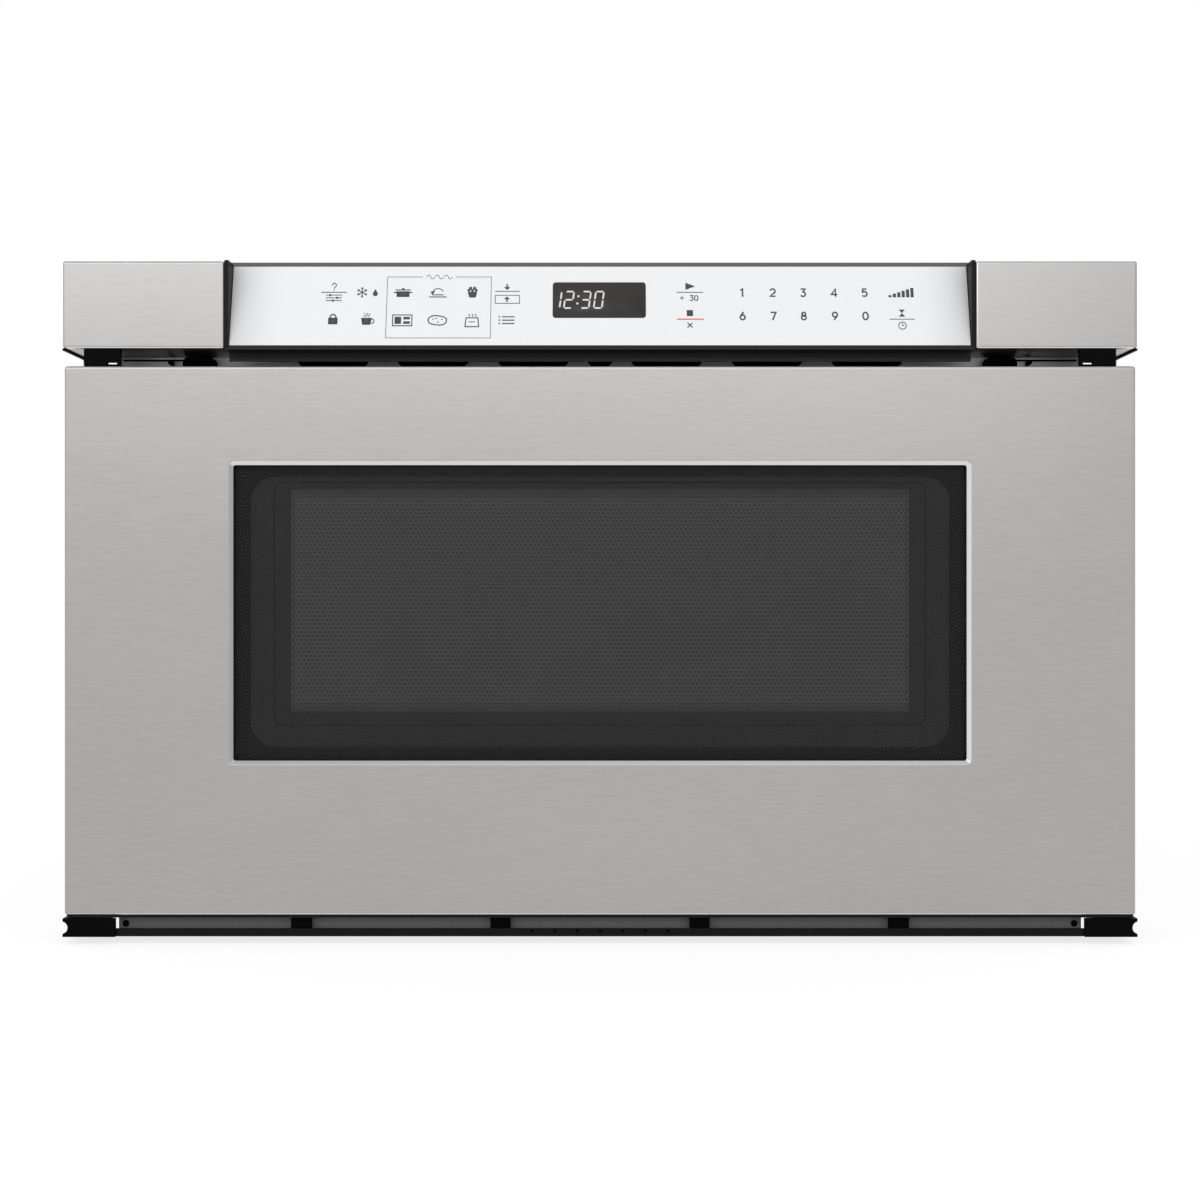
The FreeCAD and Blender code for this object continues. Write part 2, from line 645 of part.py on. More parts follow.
# ---------------------------------------------------------------- power pieces
def magnetron_yoke():
    """Steel frame of the magnetron, open to the air that blows along X."""
    half_d = MAGNETRON_D / 2
    wall = 1.5
    outer = box(-MAGNETRON_HALF_W, MAGNETRON_HALF_W, MAGNETRON_Y - half_d, MAGNETRON_Y + half_d,
                MAGNETRON_Z0, MAGNETRON_Z1)
    inner = box(-MAGNETRON_HALF_W, MAGNETRON_HALF_W, MAGNETRON_Y - half_d + wall,
                MAGNETRON_Y + half_d - wall, MAGNETRON_Z0 + wall, MAGNETRON_Z1 - wall)
    hole = rod(ANODE_R - 4, (0, MAGNETRON_Y, MAGNETRON_Z0), (0, MAGNETRON_Y, MAGNETRON_Z1))
    return outer.cut([inner, hole])


def magnetron_tube():
    """Anode with its two ring magnets and the antenna that reaches into the waveguide."""
    wall = 1.5
    z0 = MAGNETRON_Z0 + wall
    z1 = MAGNETRON_Z1 - wall
    anode = rod(ANODE_R, (0, MAGNETRON_Y, z0), (0, MAGNETRON_Y, z1))
    lower = rod(MAGNET_R, (0, MAGNETRON_Y, z0), (0, MAGNETRON_Y, z0 + MAGNET_H))
    upper = rod(MAGNET_R, (0, MAGNETRON_Y, z1 - MAGNET_H), (0, MAGNETRON_Y, z1))
    antenna = rod(ANODE_R / 2.2, (0, MAGNETRON_Y, z1), (0, MAGNETRON_Y, GUIDE_Z0 + GUIDE_H / 2))
    return fused([anode, lower, upper, antenna])


def cooling_fins():
    """Thin plates round the anode."""
    wall = 1.5
    low = MAGNETRON_Z0 + wall + MAGNET_H
    high = MAGNETRON_Z1 - wall - MAGNET_H
    step = (high - low) / (FIN_COUNT + 1)
    half_d = MAGNETRON_D / 2 - wall
    fins = []
    for i in range(FIN_COUNT):
        z = low + step * (i + 1)
        fin = box(-MAGNETRON_HALF_W + 2, MAGNETRON_HALF_W - 2, MAGNETRON_Y - half_d,
                  MAGNETRON_Y + half_d, z, z + FIN_T)
        hole = rod(ANODE_R + RUNNING, (0, MAGNETRON_Y, z), (0, MAGNETRON_Y, z + FIN_T))
        fins.append(fin.cut(hole))
    return fins


FILTER_H = 30.0
PLUG_L = 12.0
PLUG_HALF_W = 10.0
PLUG_TOP = 8.0
PLUG_H = 16.0


def filter_box():
    """Tin box under the magnetron that holds its chokes, with the two-pin connector."""
    half = MAGNETRON_HALF_W - PLUG_L
    body = box(-half, half, MAGNETRON_Y - half, MAGNETRON_Y + half,
               MAGNETRON_Z0 - FILTER_H, MAGNETRON_Z0)
    z1 = MAGNETRON_Z0 - PLUG_TOP
    plug = box(-half - PLUG_L, -half, MAGNETRON_Y - PLUG_HALF_W, MAGNETRON_Y + PLUG_HALF_W,
               z1 - PLUG_H, z1)
    return fused([body, plug])


LEG = CORE_W / 6
CORE_WINDOW_H = CORE_H - 2 * LEG
CORE_FEET_H = 3.0
COIL_GAP = 0.5


def transformer_core():
    """Laminated core with a window either side of its middle leg, on two feet."""
    x0 = CORE_X - CORE_W / 2
    z0 = BASE_TOP + CORE_FEET_H
    y0 = MAGNETRON_Y - CORE_D / 2
    core = box(x0, x0 + CORE_W, y0, y0 + CORE_D, z0, z0 + CORE_H)
    windows = [box(CORE_X + s * 1.5 * LEG - LEG / 2, CORE_X + s * 1.5 * LEG + LEG / 2, y0, y0 + CORE_D,
                   z0 + LEG, z0 + LEG + CORE_WINDOW_H) for s in (-1, 1)]
    feet = [box(x0 - 10, x0 + CORE_W + 10, y, y + 18, BASE_TOP, z0)
            for y in (y0, y0 + CORE_D - 18)]
    return fused([core.cut(windows)] + feet)


def transformer_windings():
    """Primary and secondary coil round the middle leg, one above the other."""
    coils = []
    y0 = MAGNETRON_Y - CORE_D / 2
    height = CORE_WINDOW_H / 2 - COIL_GAP
    outer_x = 2 * LEG - COIL_GAP
    for i in range(2):
        z0 = BASE_TOP + CORE_FEET_H + LEG + i * (height + 2 * COIL_GAP)
        outer = rounded_box(CORE_X - outer_x, CORE_X + outer_x, y0 - COIL_OUT,
                            y0 + CORE_D + COIL_OUT, z0, z0 + height, COIL_OUT * 0.8)
        inner = box(CORE_X - LEG, CORE_X + LEG, y0, y0 + CORE_D, z0, z0 + height)
        coils.append(outer.cut(inner))
    return coils


def stadium(x, y, width, depth, z0, z1):
    """Upright block with half-round ends along X."""
    reach = (width - depth) / 2
    ends = [rod(depth / 2, (x + s * reach, y, z0), (x + s * reach, y, z1)) for s in (-1, 1)]
    return fused(ends + [box(x - reach, x + reach, y - depth / 2, y + depth / 2, z0, z1)])


def hv_capacitor():
    """Oval oil-filled can on the base, with two terminals."""
    z1 = BASE_TOP + CAPACITOR_H
    can = stadium(CAPACITOR_X, MAGNETRON_Y, CAPACITOR_W, CAPACITOR_D, BASE_TOP, z1)
    posts = [rod(3, (CAPACITOR_X + s * 9, MAGNETRON_Y, z1), (CAPACITOR_X + s * 9, MAGNETRON_Y, z1 + 9))
             for s in (-1, 1)]
    return fused([can] + posts)


def capacitor_clamp():
    """Sheet band round the can with a foot on the base."""
    z0 = BASE_TOP + CAPACITOR_H * 0.35
    band = stadium(CAPACITOR_X, MAGNETRON_Y, CAPACITOR_W + 3.2, CAPACITOR_D + 3.2, z0, z0 + 16)
    band = band.cut(stadium(CAPACITOR_X, MAGNETRON_Y, CAPACITOR_W + 0.2, CAPACITOR_D + 0.2, z0, z0 + 16))
    y0 = MAGNETRON_Y + CAPACITOR_D / 2 + 0.1
    strap = box(CAPACITOR_X - 8, CAPACITOR_X + 8, y0, y0 + 1.5, BASE_TOP, z0 + 1)
    foot = box(CAPACITOR_X - 8, CAPACITOR_X + 8, y0, y0 + 14, BASE_TOP, BASE_TOP + 1.5)
    return fused([band, strap, foot])


def hv_diode():
    """Rectifier between the capacitor and the base, with its ring tag."""
    x = CAPACITOR_X - CAPACITOR_W / 2 - 16
    tag = tube(6, 2.2, (x, MAGNETRON_Y, BASE_TOP), (x, MAGNETRON_Y, BASE_TOP + 1.2))
    lead = rod(0.9, (x + 4, MAGNETRON_Y, BASE_TOP), (x + 4, MAGNETRON_Y, BASE_TOP + 20))
    body = rod(3.6, (x + 4, MAGNETRON_Y, BASE_TOP + 20), (x + 4, MAGNETRON_Y, BASE_TOP + 38))
    return fused([tag, lead, body])


FILTER_CARD_W = 90.0
FILTER_CARD_H = 70.0
FILTER_CARD_DROP = 25.0
FILTER_POST = 8.0
FILTER_CHOKE_R = 15.0
FILTER_CHOKE_H = 14.0
FILTER_BLOCK_W = 26.0
FILTER_BLOCK_H = 20.0


def noise_filter_board():
    """Mains filter board on the rear cover: card, posts, choke, capacitor and fuse."""
    x0 = GLAND_X - FILTER_CARD_W / 2
    x1 = GLAND_X + FILTER_CARD_W / 2
    z1 = GLAND_Z - FILTER_CARD_DROP
    z0 = z1 - FILTER_CARD_H
    y1 = BACK_Y - SHEET - FILTER_POST
    card = box(x0, x1, y1 - BOARD_T, y1, z0, z1)
    posts = [rod(2.5, (x, y1, z), (x, BACK_Y - SHEET, z)) for x in (x0 + 6, x1 - 6)
             for z in (z0 + 6, z1 - 6)]
    face = y1 - BOARD_T
    choke_x = x0 + FILTER_CHOKE_R + 9
    choke_z = (z0 + z1) / 2
    choke = tube(FILTER_CHOKE_R, FILTER_CHOKE_R * 0.4, (choke_x, face - FILTER_CHOKE_H, choke_z),
                 (choke_x, face, choke_z))
    block_x0 = choke_x + FILTER_CHOKE_R + 9
    block_x1 = block_x0 + FILTER_BLOCK_W
    blocks = [box(block_x0, block_x1, face - FILTER_CHOKE_H, face, z0 + 10, z0 + 10 + FILTER_BLOCK_H),
              box(block_x0, block_x1, face - FILTER_POST, face,
                  z1 - 8 - FILTER_BLOCK_H / 2, z1 - 8)]
    return fused([card, choke] + posts + blocks)


# ---------------------------------------------------------------- cooling fan
def fan_housing():
    """Square frame round the fan, held to the rear cover by two lugs."""
    x1 = FAN_X + FAN_W
    frame = box(FAN_X, x1, MAGNETRON_Y - FAN_HALF, MAGNETRON_Y + FAN_HALF,
                FAN_Z - FAN_HALF, FAN_Z + FAN_HALF)
    bore = rod(FAN_BORE_R, (FAN_X, MAGNETRON_Y, FAN_Z), (x1, MAGNETRON_Y, FAN_Z))
    lugs = [box(FAN_X, x1, MAGNETRON_Y + FAN_HALF, BACK_Y - SHEET, z - 5, z + 5)
            for z in spread(2, FAN_HALF * 1.6, FAN_Z)]
    return fused([frame.cut(bore)] + lugs)


def air_duct():
    """Square tube that leads the fan's air to the magnetron."""
    x0 = GUIDE_HALF_W + 3.0
    wall = 1.5
    outer = box(x0, FAN_X, MAGNETRON_Y - FAN_HALF, MAGNETRON_Y + FAN_HALF,
                FAN_Z - FAN_HALF, FAN_Z + FAN_HALF)
    inner = box(x0, FAN_X, MAGNETRON_Y - FAN_HALF + wall, MAGNETRON_Y + FAN_HALF - wall,
                FAN_Z - FAN_HALF + wall, FAN_Z + FAN_HALF - wall)
    return outer.cut(inner)


def fan_wheel():
    """Axial wheel: a hub with twisted blades set at a slant."""
    x0 = FAN_X + 8
    x1 = x0 + 18
    hub = rod(FAN_HUB_R, (x0, MAGNETRON_Y, FAN_Z), (x1, MAGNETRON_Y, FAN_Z))
    blades = []
    for i in range(FAN_BLADES):
        blade = box(-0.9, 0.9, -12, 12, FAN_HUB_R - 2, FAN_R - 1)
        blade.rotate(FreeCAD.Vector(0, 0, 0), Z, 55)
        blade.translate(FreeCAD.Vector((x0 + x1) / 2, MAGNETRON_Y, FAN_Z))
        blade.rotate(FreeCAD.Vector(0, MAGNETRON_Y, FAN_Z), X, 360 * i / FAN_BLADES)
        blades.append(blade)
    wheel = fused([hub] + blades)
    ring = rod(FAN_R, (x0 - 4, MAGNETRON_Y, FAN_Z), (x1 + 4, MAGNETRON_Y, FAN_Z))
    bore = rod(FAN_SHAFT_R + RUNNING, (x0 - 1, MAGNETRON_Y, FAN_Z), (x1 + 1, MAGNETRON_Y, FAN_Z))
    return wheel.common(ring).cut(bore)


def fan_motor():
    """Shaded-pole motor on three arms across the fan frame; its shaft carries the wheel."""
    x1 = FAN_X + FAN_W
    spider = [box(x1, x1 + 3, MAGNETRON_Y - FAN_HALF, MAGNETRON_Y + FAN_HALF, FAN_Z - 6, FAN_Z + 6),
              box(x1, x1 + 3, MAGNETRON_Y - 6, MAGNETRON_Y + 6, FAN_Z - FAN_HALF, FAN_Z + FAN_HALF)]
    stack = box(x1 + 3, x1 + 23, MAGNETRON_Y - 24, MAGNETRON_Y + 24, FAN_Z - 22, FAN_Z + 22)
    bobbin = box(x1 + 3, x1 + 27, MAGNETRON_Y - 17, MAGNETRON_Y + 17, FAN_Z + 22, FAN_Z + 34)
    shaft = rod(FAN_SHAFT_R, (FAN_X + 6, MAGNETRON_Y, FAN_Z), (x1 + 26, MAGNETRON_Y, FAN_Z))
    return fused(spider + [stack, bobbin, shaft])


# ---------------------------------------------------------------- lamp, sensors, switches
def oven_lamp():
    """Small bulb behind the perforated lamp window."""
    x0 = CAV_HALF_W + CAV_WALL
    radius = LAMP_R - 3
    nose = x0 + radius + 2
    tip = Part.makeSphere(radius, FreeCAD.Vector(nose, LAMP_Y, LAMP_Z))
    return [fused([tip, rod(radius, (nose, LAMP_Y, LAMP_Z), (x0 + 22, LAMP_Y, LAMP_Z))]), lamp_holder()]


def lamp_holder():
    """Cup that holds the bulb against the cavity's side."""
    x0 = CAV_HALF_W + CAV_WALL
    cup = tube(LAMP_R + 3, LAMP_R - 2.5, (x0, LAMP_Y, LAMP_Z), (x0 + 22, LAMP_Y, LAMP_Z))
    base = rod(LAMP_R + 3, (x0 + 22, LAMP_Y, LAMP_Z), (x0 + 32, LAMP_Y, LAMP_Z))
    return fused([cup, base])


CUTOUT_R = 8.0
CUTOUT_T = 7.0
CUTOUT_EARS_W = 28.0
CUTOUT_XS = (20.0 - CAV_HALF_W / 2, CAV_HALF_W - 36.0)


def thermal_cutouts():
    """Disc thermostats on the back of the cavity."""
    cutouts = []
    y0 = CAV_BACK + CAV_WALL
    for x in CUTOUT_XS:
        disc = rod(CUTOUT_R, (x, y0, LAMP_Z), (x, y0 + CUTOUT_T, LAMP_Z))
        ears = box(x - CUTOUT_EARS_W / 2, x + CUTOUT_EARS_W / 2, y0, y0 + SHEET,
                   LAMP_Z - CUTOUT_R / 2, LAMP_Z + CUTOUT_R / 2)
        cutouts.append(fused([disc, ears]))
    return cutouts


SENSOR_X = 105.0
SENSOR_R = 6.0
SENSOR_H = 12.0
SENSOR_FOOT_W = 30.0
SENSOR_FOOT_D = 18.0


def steam_sensor():
    """Humidity sensor on top of the exhaust duct."""
    y = FLANGE_BACK + DUCT_D / 2
    foot = box(SENSOR_X - SENSOR_FOOT_W / 2, SENSOR_X + SENSOR_FOOT_W / 2,
               y - SENSOR_FOOT_D / 2, y + SENSOR_FOOT_D / 2, DUCT_Z1, DUCT_Z1 + 2 * SHEET)
    return fused([foot, rod(SENSOR_R, (SENSOR_X, y, DUCT_Z1), (SENSOR_X, y, DUCT_Z1 + SENSOR_H))])


SWITCH_GAP = 0.3
SWITCH_Y0 = DOOR_BACK + LATCH_REACH + SWITCH_GAP
SWITCH_PLUNGER = 3.0
SWITCH_L = 25.0
SWITCH_W = 14.0
SWITCH_H = 10.0
SWITCH_PLATE_X = LATCH_X + LATCH_W / 2 + LATCH_SLOT_GAP + 4.0
SWITCH_PLATE_HALF_H = 16.0
SWITCH_PLATE_T = 1.5


def latch_heads():
    """Hooked fingers on the back of the door, which enter the latch slots."""
    half = LATCH_W / 2
    finger = box(LATCH_X - half, LATCH_X + half, FRAME_BACK, DOOR_BACK + LATCH_REACH,
                 LATCH_Z - 3, LATCH_Z + 3)
    hook = box(LATCH_X - half, LATCH_X + half, DOOR_BACK + LATCH_REACH - 6,
               DOOR_BACK + LATCH_REACH, LATCH_Z - 6, LATCH_Z + 3)
    return pair(fused([finger, hook]))


def switch_brackets():
    """Plate on the flange's back, beside each latch slot, which carries the door switches."""
    x0 = SWITCH_PLATE_X
    z0 = LATCH_Z - SWITCH_PLATE_HALF_H
    z1 = LATCH_Z + SWITCH_PLATE_HALF_H
    arm = box(x0, x0 + SWITCH_PLATE_T, FLANGE_BACK, SWITCH_Y0 + SWITCH_PLUNGER + SWITCH_L + 2, z0, z1)
    foot = box(x0, x0 + 12, FLANGE_BACK, FLANGE_BACK + SWITCH_PLATE_T, z0, z1)
    return pair(fused([arm, foot]))


def interlock_switches():
    """Snap switches, two behind each latch, each with its plunger out against the hook."""
    x1 = SWITCH_PLATE_X
    y0 = SWITCH_Y0 + SWITCH_PLUNGER
    half_h = SWITCH_H / 2
    switches = []
    for z, press_z in ((LATCH_Z - half_h - 0.5, LATCH_Z - 4), (LATCH_Z + half_h + 0.5, LATCH_Z + 1.5)):
        body = box(x1 - SWITCH_W, x1, y0, y0 + SWITCH_L, z - half_h, z + half_h)
        plunger = box(x1 - 10, x1 - 7, SWITCH_Y0, y0, press_z - 1, press_z + 1)
        switches += pair(fused([body, plunger]))
    return switches


# ---------------------------------------------------------------- control panel
def panel_y(z):
    """Front face of the leaning control panel at a height."""
    return FRONT_Y + (z - PANEL_Z0) * PANEL_SLOPE


def leaning(z0, z1, near, far, half_w, middle=0.0):
    """Slab behind the panel's leaning face, from one depth behind it to another."""
    outline = [(panel_y(z0) + near, z0), (panel_y(z0) + far, z0),
               (panel_y(z1) + far, z1), (panel_y(z1) + near, z1)]
    return prism_x(outline, middle - half_w, middle + half_w)


PANEL_GLASS_Z0 = PANEL_Z0 + PANEL_EDGE
PANEL_GLASS_Z1 = PANEL_Z1 - PANEL_EDGE
PANEL_GLASS_HALF_W = PANEL_HALF_W - PANEL_EDGE
POCKET_H = 3.0


def control_frame():
    """Black moulding round the glass, with exhaust pockets and a skirt underneath."""
    outline = [(panel_y(PANEL_Z0), PANEL_Z0), (FLANGE_Y, PANEL_Z0),
               (FLANGE_Y, PANEL_Z1), (panel_y(PANEL_Z1), PANEL_Z1)]
    block = prism_x(outline, -PANEL_HALF_W, PANEL_HALF_W)
    pocket = leaning(PANEL_GLASS_Z0, PANEL_GLASS_Z1, -5, PANEL_GLASS_T, PANEL_GLASS_HALF_W)
    inside = [(panel_y(PANEL_GLASS_Z0 + PANEL_LEDGE / 2), PANEL_GLASS_Z0 + PANEL_LEDGE / 2),
              (FLANGE_Y, PANEL_GLASS_Z0 + PANEL_LEDGE / 2),
              (FLANGE_Y, PANEL_GLASS_Z1 - PANEL_LEDGE / 2),
              (panel_y(PANEL_GLASS_Z1 - PANEL_LEDGE / 2), PANEL_GLASS_Z1 - PANEL_LEDGE / 2)]
    half = PANEL_GLASS_HALF_W - PANEL_LEDGE
    pockets = [box(x - w / 2, x + w / 2, FLANGE_Y - 16, FLANGE_Y, PANEL_Z0, PANEL_Z0 + POCKET_H)
               for x, w in vent_places()]
    y0 = FRONT_Y + PANEL_SKIRT_BACK
    skirt = box(-PANEL_HALF_W, PANEL_HALF_W, y0, y0 + PANEL_SKIRT_T, PANEL_Z0 - PANEL_SKIRT_H, PANEL_Z0)
    return fused([block.cut([pocket, prism_x(inside, -half, half)] + pockets), skirt])


def control_glass():
    return leaning(PANEL_GLASS_Z0, PANEL_GLASS_Z1, 0, PANEL_GLASS_T, PANEL_GLASS_HALF_W)


PANEL_MIDDLE_Z = (PANEL_GLASS_Z0 + PANEL_GLASS_Z1) / 2


def display_module():
    middle = PANEL_MIDDLE_Z + DISPLAY_RISE
    return leaning(middle - DISPLAY_H / 2, middle + DISPLAY_H / 2,
                   PANEL_GLASS_T, PANEL_GLASS_T + DISPLAY_T, DISPLAY_HALF_W)


def control_board():
    """Circuit card in the control housing, on posts that stand on the flange."""
    y1 = FLANGE_Y - 4
    half_w = PANEL_HALF_W - 30
    half_h = PANEL_LEDGE * 2.2
    card = box(-half_w, half_w, y1 - BOARD_T, y1, PANEL_MIDDLE_Z - half_h, PANEL_MIDDLE_Z + half_h)
    posts = [rod(2.5, (x, y1, PANEL_MIDDLE_Z - half_h + 4), (x, FLANGE_Y, PANEL_MIDDLE_Z - half_h + 4))
             for x in spread(4, half_w * 2 / 3 - 6)]
    chips = [box(x - 12, x + 12, y1 - BOARD_T - 4, y1 - BOARD_T, PANEL_MIDDLE_Z - 8, PANEL_MIDDLE_Z + 4)
             for x in (-120, -60, 70, 130)]
    return fused([card] + posts + chips)


def end_panel():
    """Stainless cap beside the controls: a front with three edges turned back."""
    x0 = PANEL_HALF_W + FRONT_GAP
    outer = box(x0, HALF_W, FRONT_Y, FLANGE_Y, END_Z0, END_Z1)
    inner = box(x0, HALF_W - FRONT_SHEET, FRONT_Y + FRONT_SHEET, FLANGE_Y,
                END_Z0 + FRONT_SHEET, END_Z1 - FRONT_SHEET)
    return outer.cut(inner)


SPACER_W = 20.4
SPACER_X = HALF_W - 32.2
SPACER_H = 9.6
SPACER_T = 4.0
SPACER_NOTCH_LOW = 0.8
SPACER_NOTCH_H = 1.3
STRIP_H = 1.2


def end_spacers():
    """Black block under each end panel, notched below, and the dark strip on its outer edge."""
    y0 = FRONT_Y + FRONT_SHEET
    block = box(SPACER_X, SPACER_X + SPACER_W, y0, y0 + SPACER_T, END_Z0 - SPACER_H, END_Z0)
    z0 = END_Z0 - SPACER_H + SPACER_NOTCH_LOW
    notch = box(SPACER_X + 1.7, SPACER_X + 7.6, y0, y0 + SPACER_T, z0, z0 + SPACER_NOTCH_H)
    strip = box(HALF_W - 1.5, HALF_W, FRONT_Y, FLANGE_Y, END_Z0 - STRIP_H, END_Z0)
    pieces = []
    for piece in (block.cut(notch), strip):
        pieces += pair(piece)
    return pieces


BUMPER_X = HALF_W - 69.6
BUMPER_W = 18.6
BUMPER_H = 8.0
BUMPER_T = 8.0
BUMPER_BELOW = 8.6
BUMPER_ROUND = 3.4
BUMPER_STRIP_X1 = HALF_W - 23.7
BUMPER_STRIP_H = 1.0
PIN_X = BUMPER_X + 17.1
PIN_BELOW = 3.4
PIN_R = 1.3
PIN_T = 6.0


def door_bumpers():
    """Rubber bumpers on the flange above the door, each with a thin strip and a small stop pin."""
    z0 = END_Z0 - BUMPER_BELOW
    bumper = box(BUMPER_X - BUMPER_W / 2, BUMPER_X + BUMPER_W / 2, FLANGE_Y - BUMPER_T, FLANGE_Y,
                 z0, z0 + BUMPER_H)
    edges = [e for e in bumper.Edges if abs(e.tangentAt(e.FirstParameter).y) > 0.999]
    bumper = bumper.makeFillet(BUMPER_ROUND, edges)
    z1 = END_Z0 - BUMPER_STRIP_H
    strip = box(BUMPER_X, BUMPER_STRIP_X1, FLANGE_Y - BUMPER_STRIP_H, FLANGE_Y, z1 - BUMPER_STRIP_H, z1)
    z = END_Z0 - PIN_BELOW
    pin = rod(PIN_R, (PIN_X, FLANGE_Y - PIN_T, z), (PIN_X, FLANGE_Y, z))
    return pair(fused([bumper, strip])) + pair(pin)


# ---------------------------------------------------------------- lower trim
CORNER_X1 = HALF_W
CORNER_X0 = CORNER_X1 - 29.6
CORNER_FACE_T = 2.5
CORNER_ARM_W = 14.0
LEDGE_HALF_W = CORNER_X0 - 2.8
LIP_Y = FRONT_Y + 2.0
TRIM_BUMPER_W = 11.3
TRIM_BUMPER_PITCH = 112.8
TRIM_WEB_BACK = 6.0
TRIM_REAR_H = 9.0


def lower_trim():
    """Folded ledge with a web close under the door, and small holes in its front lip."""
    z0 = TRIM_RISE
    floor = box(-LEDGE_HALF_W, LEDGE_HALF_W, LIP_Y, FLANGE_Y, z0, z0 + 1)
    lip = box(-CORNER_X0, CORNER_X0, LIP_Y, LIP_Y + 1, z0, z0 + TRIM_LIP_H)
    rear = box(-LEDGE_HALF_W, LEDGE_HALF_W, FLANGE_Y - 1, FLANGE_Y, z0, z0 + TRIM_REAR_H)
    y0 = LIP_Y + TRIM_WEB_BACK
    web = box(-CORNER_X0, CORNER_X0, y0, y0 + 1, z0, DOOR_Z0 - DOOR_UNDER_LIP - FRONT_GAP)
    holes = [rod(1.0, (x, LIP_Y - 1, z0 + 3), (x, LIP_Y + 2, z0 + 3)) for x in spread(7, 12.8)]
    return fused([floor, lip, rear, web]).cut(holes)


def corner_blocks():
    """Black end blocks of the trim, each with a round hollow in its outer end."""
    z1 = DOOR_Z0 - DOOR_UNDER_LIP - FRONT_GAP
    face = box(CORNER_X0, CORNER_X1, FRONT_Y, FRONT_Y + CORNER_FACE_T, TRIM_RISE, z1)
    arm = box(CORNER_X1 - CORNER_ARM_W, CORNER_X1, FRONT_Y + CORNER_FACE_T, FLANGE_Y, TRIM_RISE, z1)
    block = fused([face, arm])
    middle = (TRIM_RISE + z1) / 2
    hollow = rod(3.6, (CORNER_X1 + 0.8, FRONT_Y, middle), (CORNER_X1 + 0.8, FLANGE_Y, middle))
    return pair(block.cut(hollow))


def trim_bumpers():
    """Soft stops on the ledge, just under the door."""
    z1 = DOOR_Z0 - DOOR_UNDER_LIP - FRONT_GAP
    xs = spread(4, TRIM_BUMPER_PITCH)
    return [box(x - TRIM_BUMPER_W / 2, x + TRIM_BUMPER_W / 2, LIP_Y + 1, LIP_Y + 5,
                TRIM_RISE + 1, z1) for x in xs]


# ---------------------------------------------------------------- door
def door_panel():
    """Brushed skin with turned-back edges and a bevelled window opening."""
    outer = box(-DOOR_HALF_W, DOOR_HALF_W, FRONT_Y, FRONT_Y + DOOR_RETURN, DOOR_Z0, DOOR_Z1)
    edge = FRONT_SHEET
    inner = box(-DOOR_HALF_W + edge, DOOR_HALF_W - edge, FRONT_Y + edge,
                FRONT_Y + DOOR_RETURN, DOOR_Z0 + edge, DOOR_Z1 - edge)
    ring = window_block(BEVEL_SIDE + edge, BEVEL_TALL + edge, FRONT_Y, GLASS_Y0)
    skin = fused([outer.cut(inner), ring])
    return skin.cut(bevel_cutter())


def window_block(side, tall, y0, y1):
    """Block over the window opening, larger than it by a margin."""
    return box(-WINDOW_HALF_W - side, WINDOW_HALF_W + side, y0, y1,
               WINDOW_Z0 - tall, WINDOW_Z1 + tall)


def bevel_cutter():
    """Opening that narrows from the front face to the glass."""
    wires = []
    for y, side, tall in ((FRONT_Y, BEVEL_SIDE, BEVEL_TALL), (GLASS_Y0, 0.0, 0.0)):
        xs = (-WINDOW_HALF_W - side, WINDOW_HALF_W + side)
        zs = (WINDOW_Z0 - tall, WINDOW_Z1 + tall)
        corners = [FreeCAD.Vector(xs[0], y, zs[0]), FreeCAD.Vector(xs[1], y, zs[0]),
                   FreeCAD.Vector(xs[1], y, zs[1]), FreeCAD.Vector(xs[0], y, zs[1])]
        wires.append(Part.makePolygon(corners + corners[:1]))
    return Part.makeLoft(wires, True, True)


def window_glass():
    return window_block(GLASS_LAP, GLASS_LAP, GLASS_Y0, GLASS_Y1)


def door_screen():
    """Steel sheet behind the glass; its fine perforation is left to the finish."""
    return window_block(GLASS_LAP, GLASS_LAP, GLASS_Y1, GLASS_Y1 + SCREEN_T)


INNER_HALF_W = PAN_HALF_W - 32
INNER_Z0 = PAN_Z0 + 22
INNER_Z1 = CAV_Z1 - 26


def door_frame():
    """Black moulded chassis of the door; a lip shows below the skin."""
    y1 = FRAME_BACK
    z0 = DOOR_Z0 - DOOR_UNDER_LIP
    half = DOOR_HALF_W - FRONT_SHEET
    outer = box(-half, half, FRONT_Y + DOOR_RETURN, y1, z0, DOOR_Z1 - FRONT_SHEET)
    inner = box(-half + FRAME_WALL, half - FRAME_WALL, FRONT_Y + DOOR_RETURN,
                y1 - FRAME_WALL, z0 + FRAME_WALL, DOOR_Z1 - FRONT_SHEET - FRAME_WALL)
    lip = box(-half, half, FRONT_Y + 1.5, FRONT_Y + DOOR_RETURN, z0, DOOR_Z0)
    cup = window_block(GLASS_LAP + FRAME_WALL, GLASS_LAP + FRAME_WALL, GLASS_Y1 + SCREEN_T, y1)
    hole = window_block(GLASS_LAP - FRAME_WALL, GLASS_LAP - FRAME_WALL, GLASS_Y1 + SCREEN_T, y1)
    return fused([outer.cut(inner), lip, cup]).cut(hole)


def choke_cover():
    """Dark moulding on the door's back that covers the microwave seal groove."""
    half = CAV_HALF_W + CHOKE_LAP
    plate = box(-half, half, FRAME_BACK, DOOR_BACK, CAV_Z0 - 8, CAV_Z1 + 4)
    hole = box(-INNER_HALF_W, INNER_HALF_W, FRAME_BACK, DOOR_BACK, INNER_Z0, INNER_Z1)
    return plate.cut(hole)


def inner_glass():
    return box(-INNER_HALF_W, INNER_HALF_W, FRAME_BACK, DOOR_BACK, INNER_Z0, INNER_Z1)


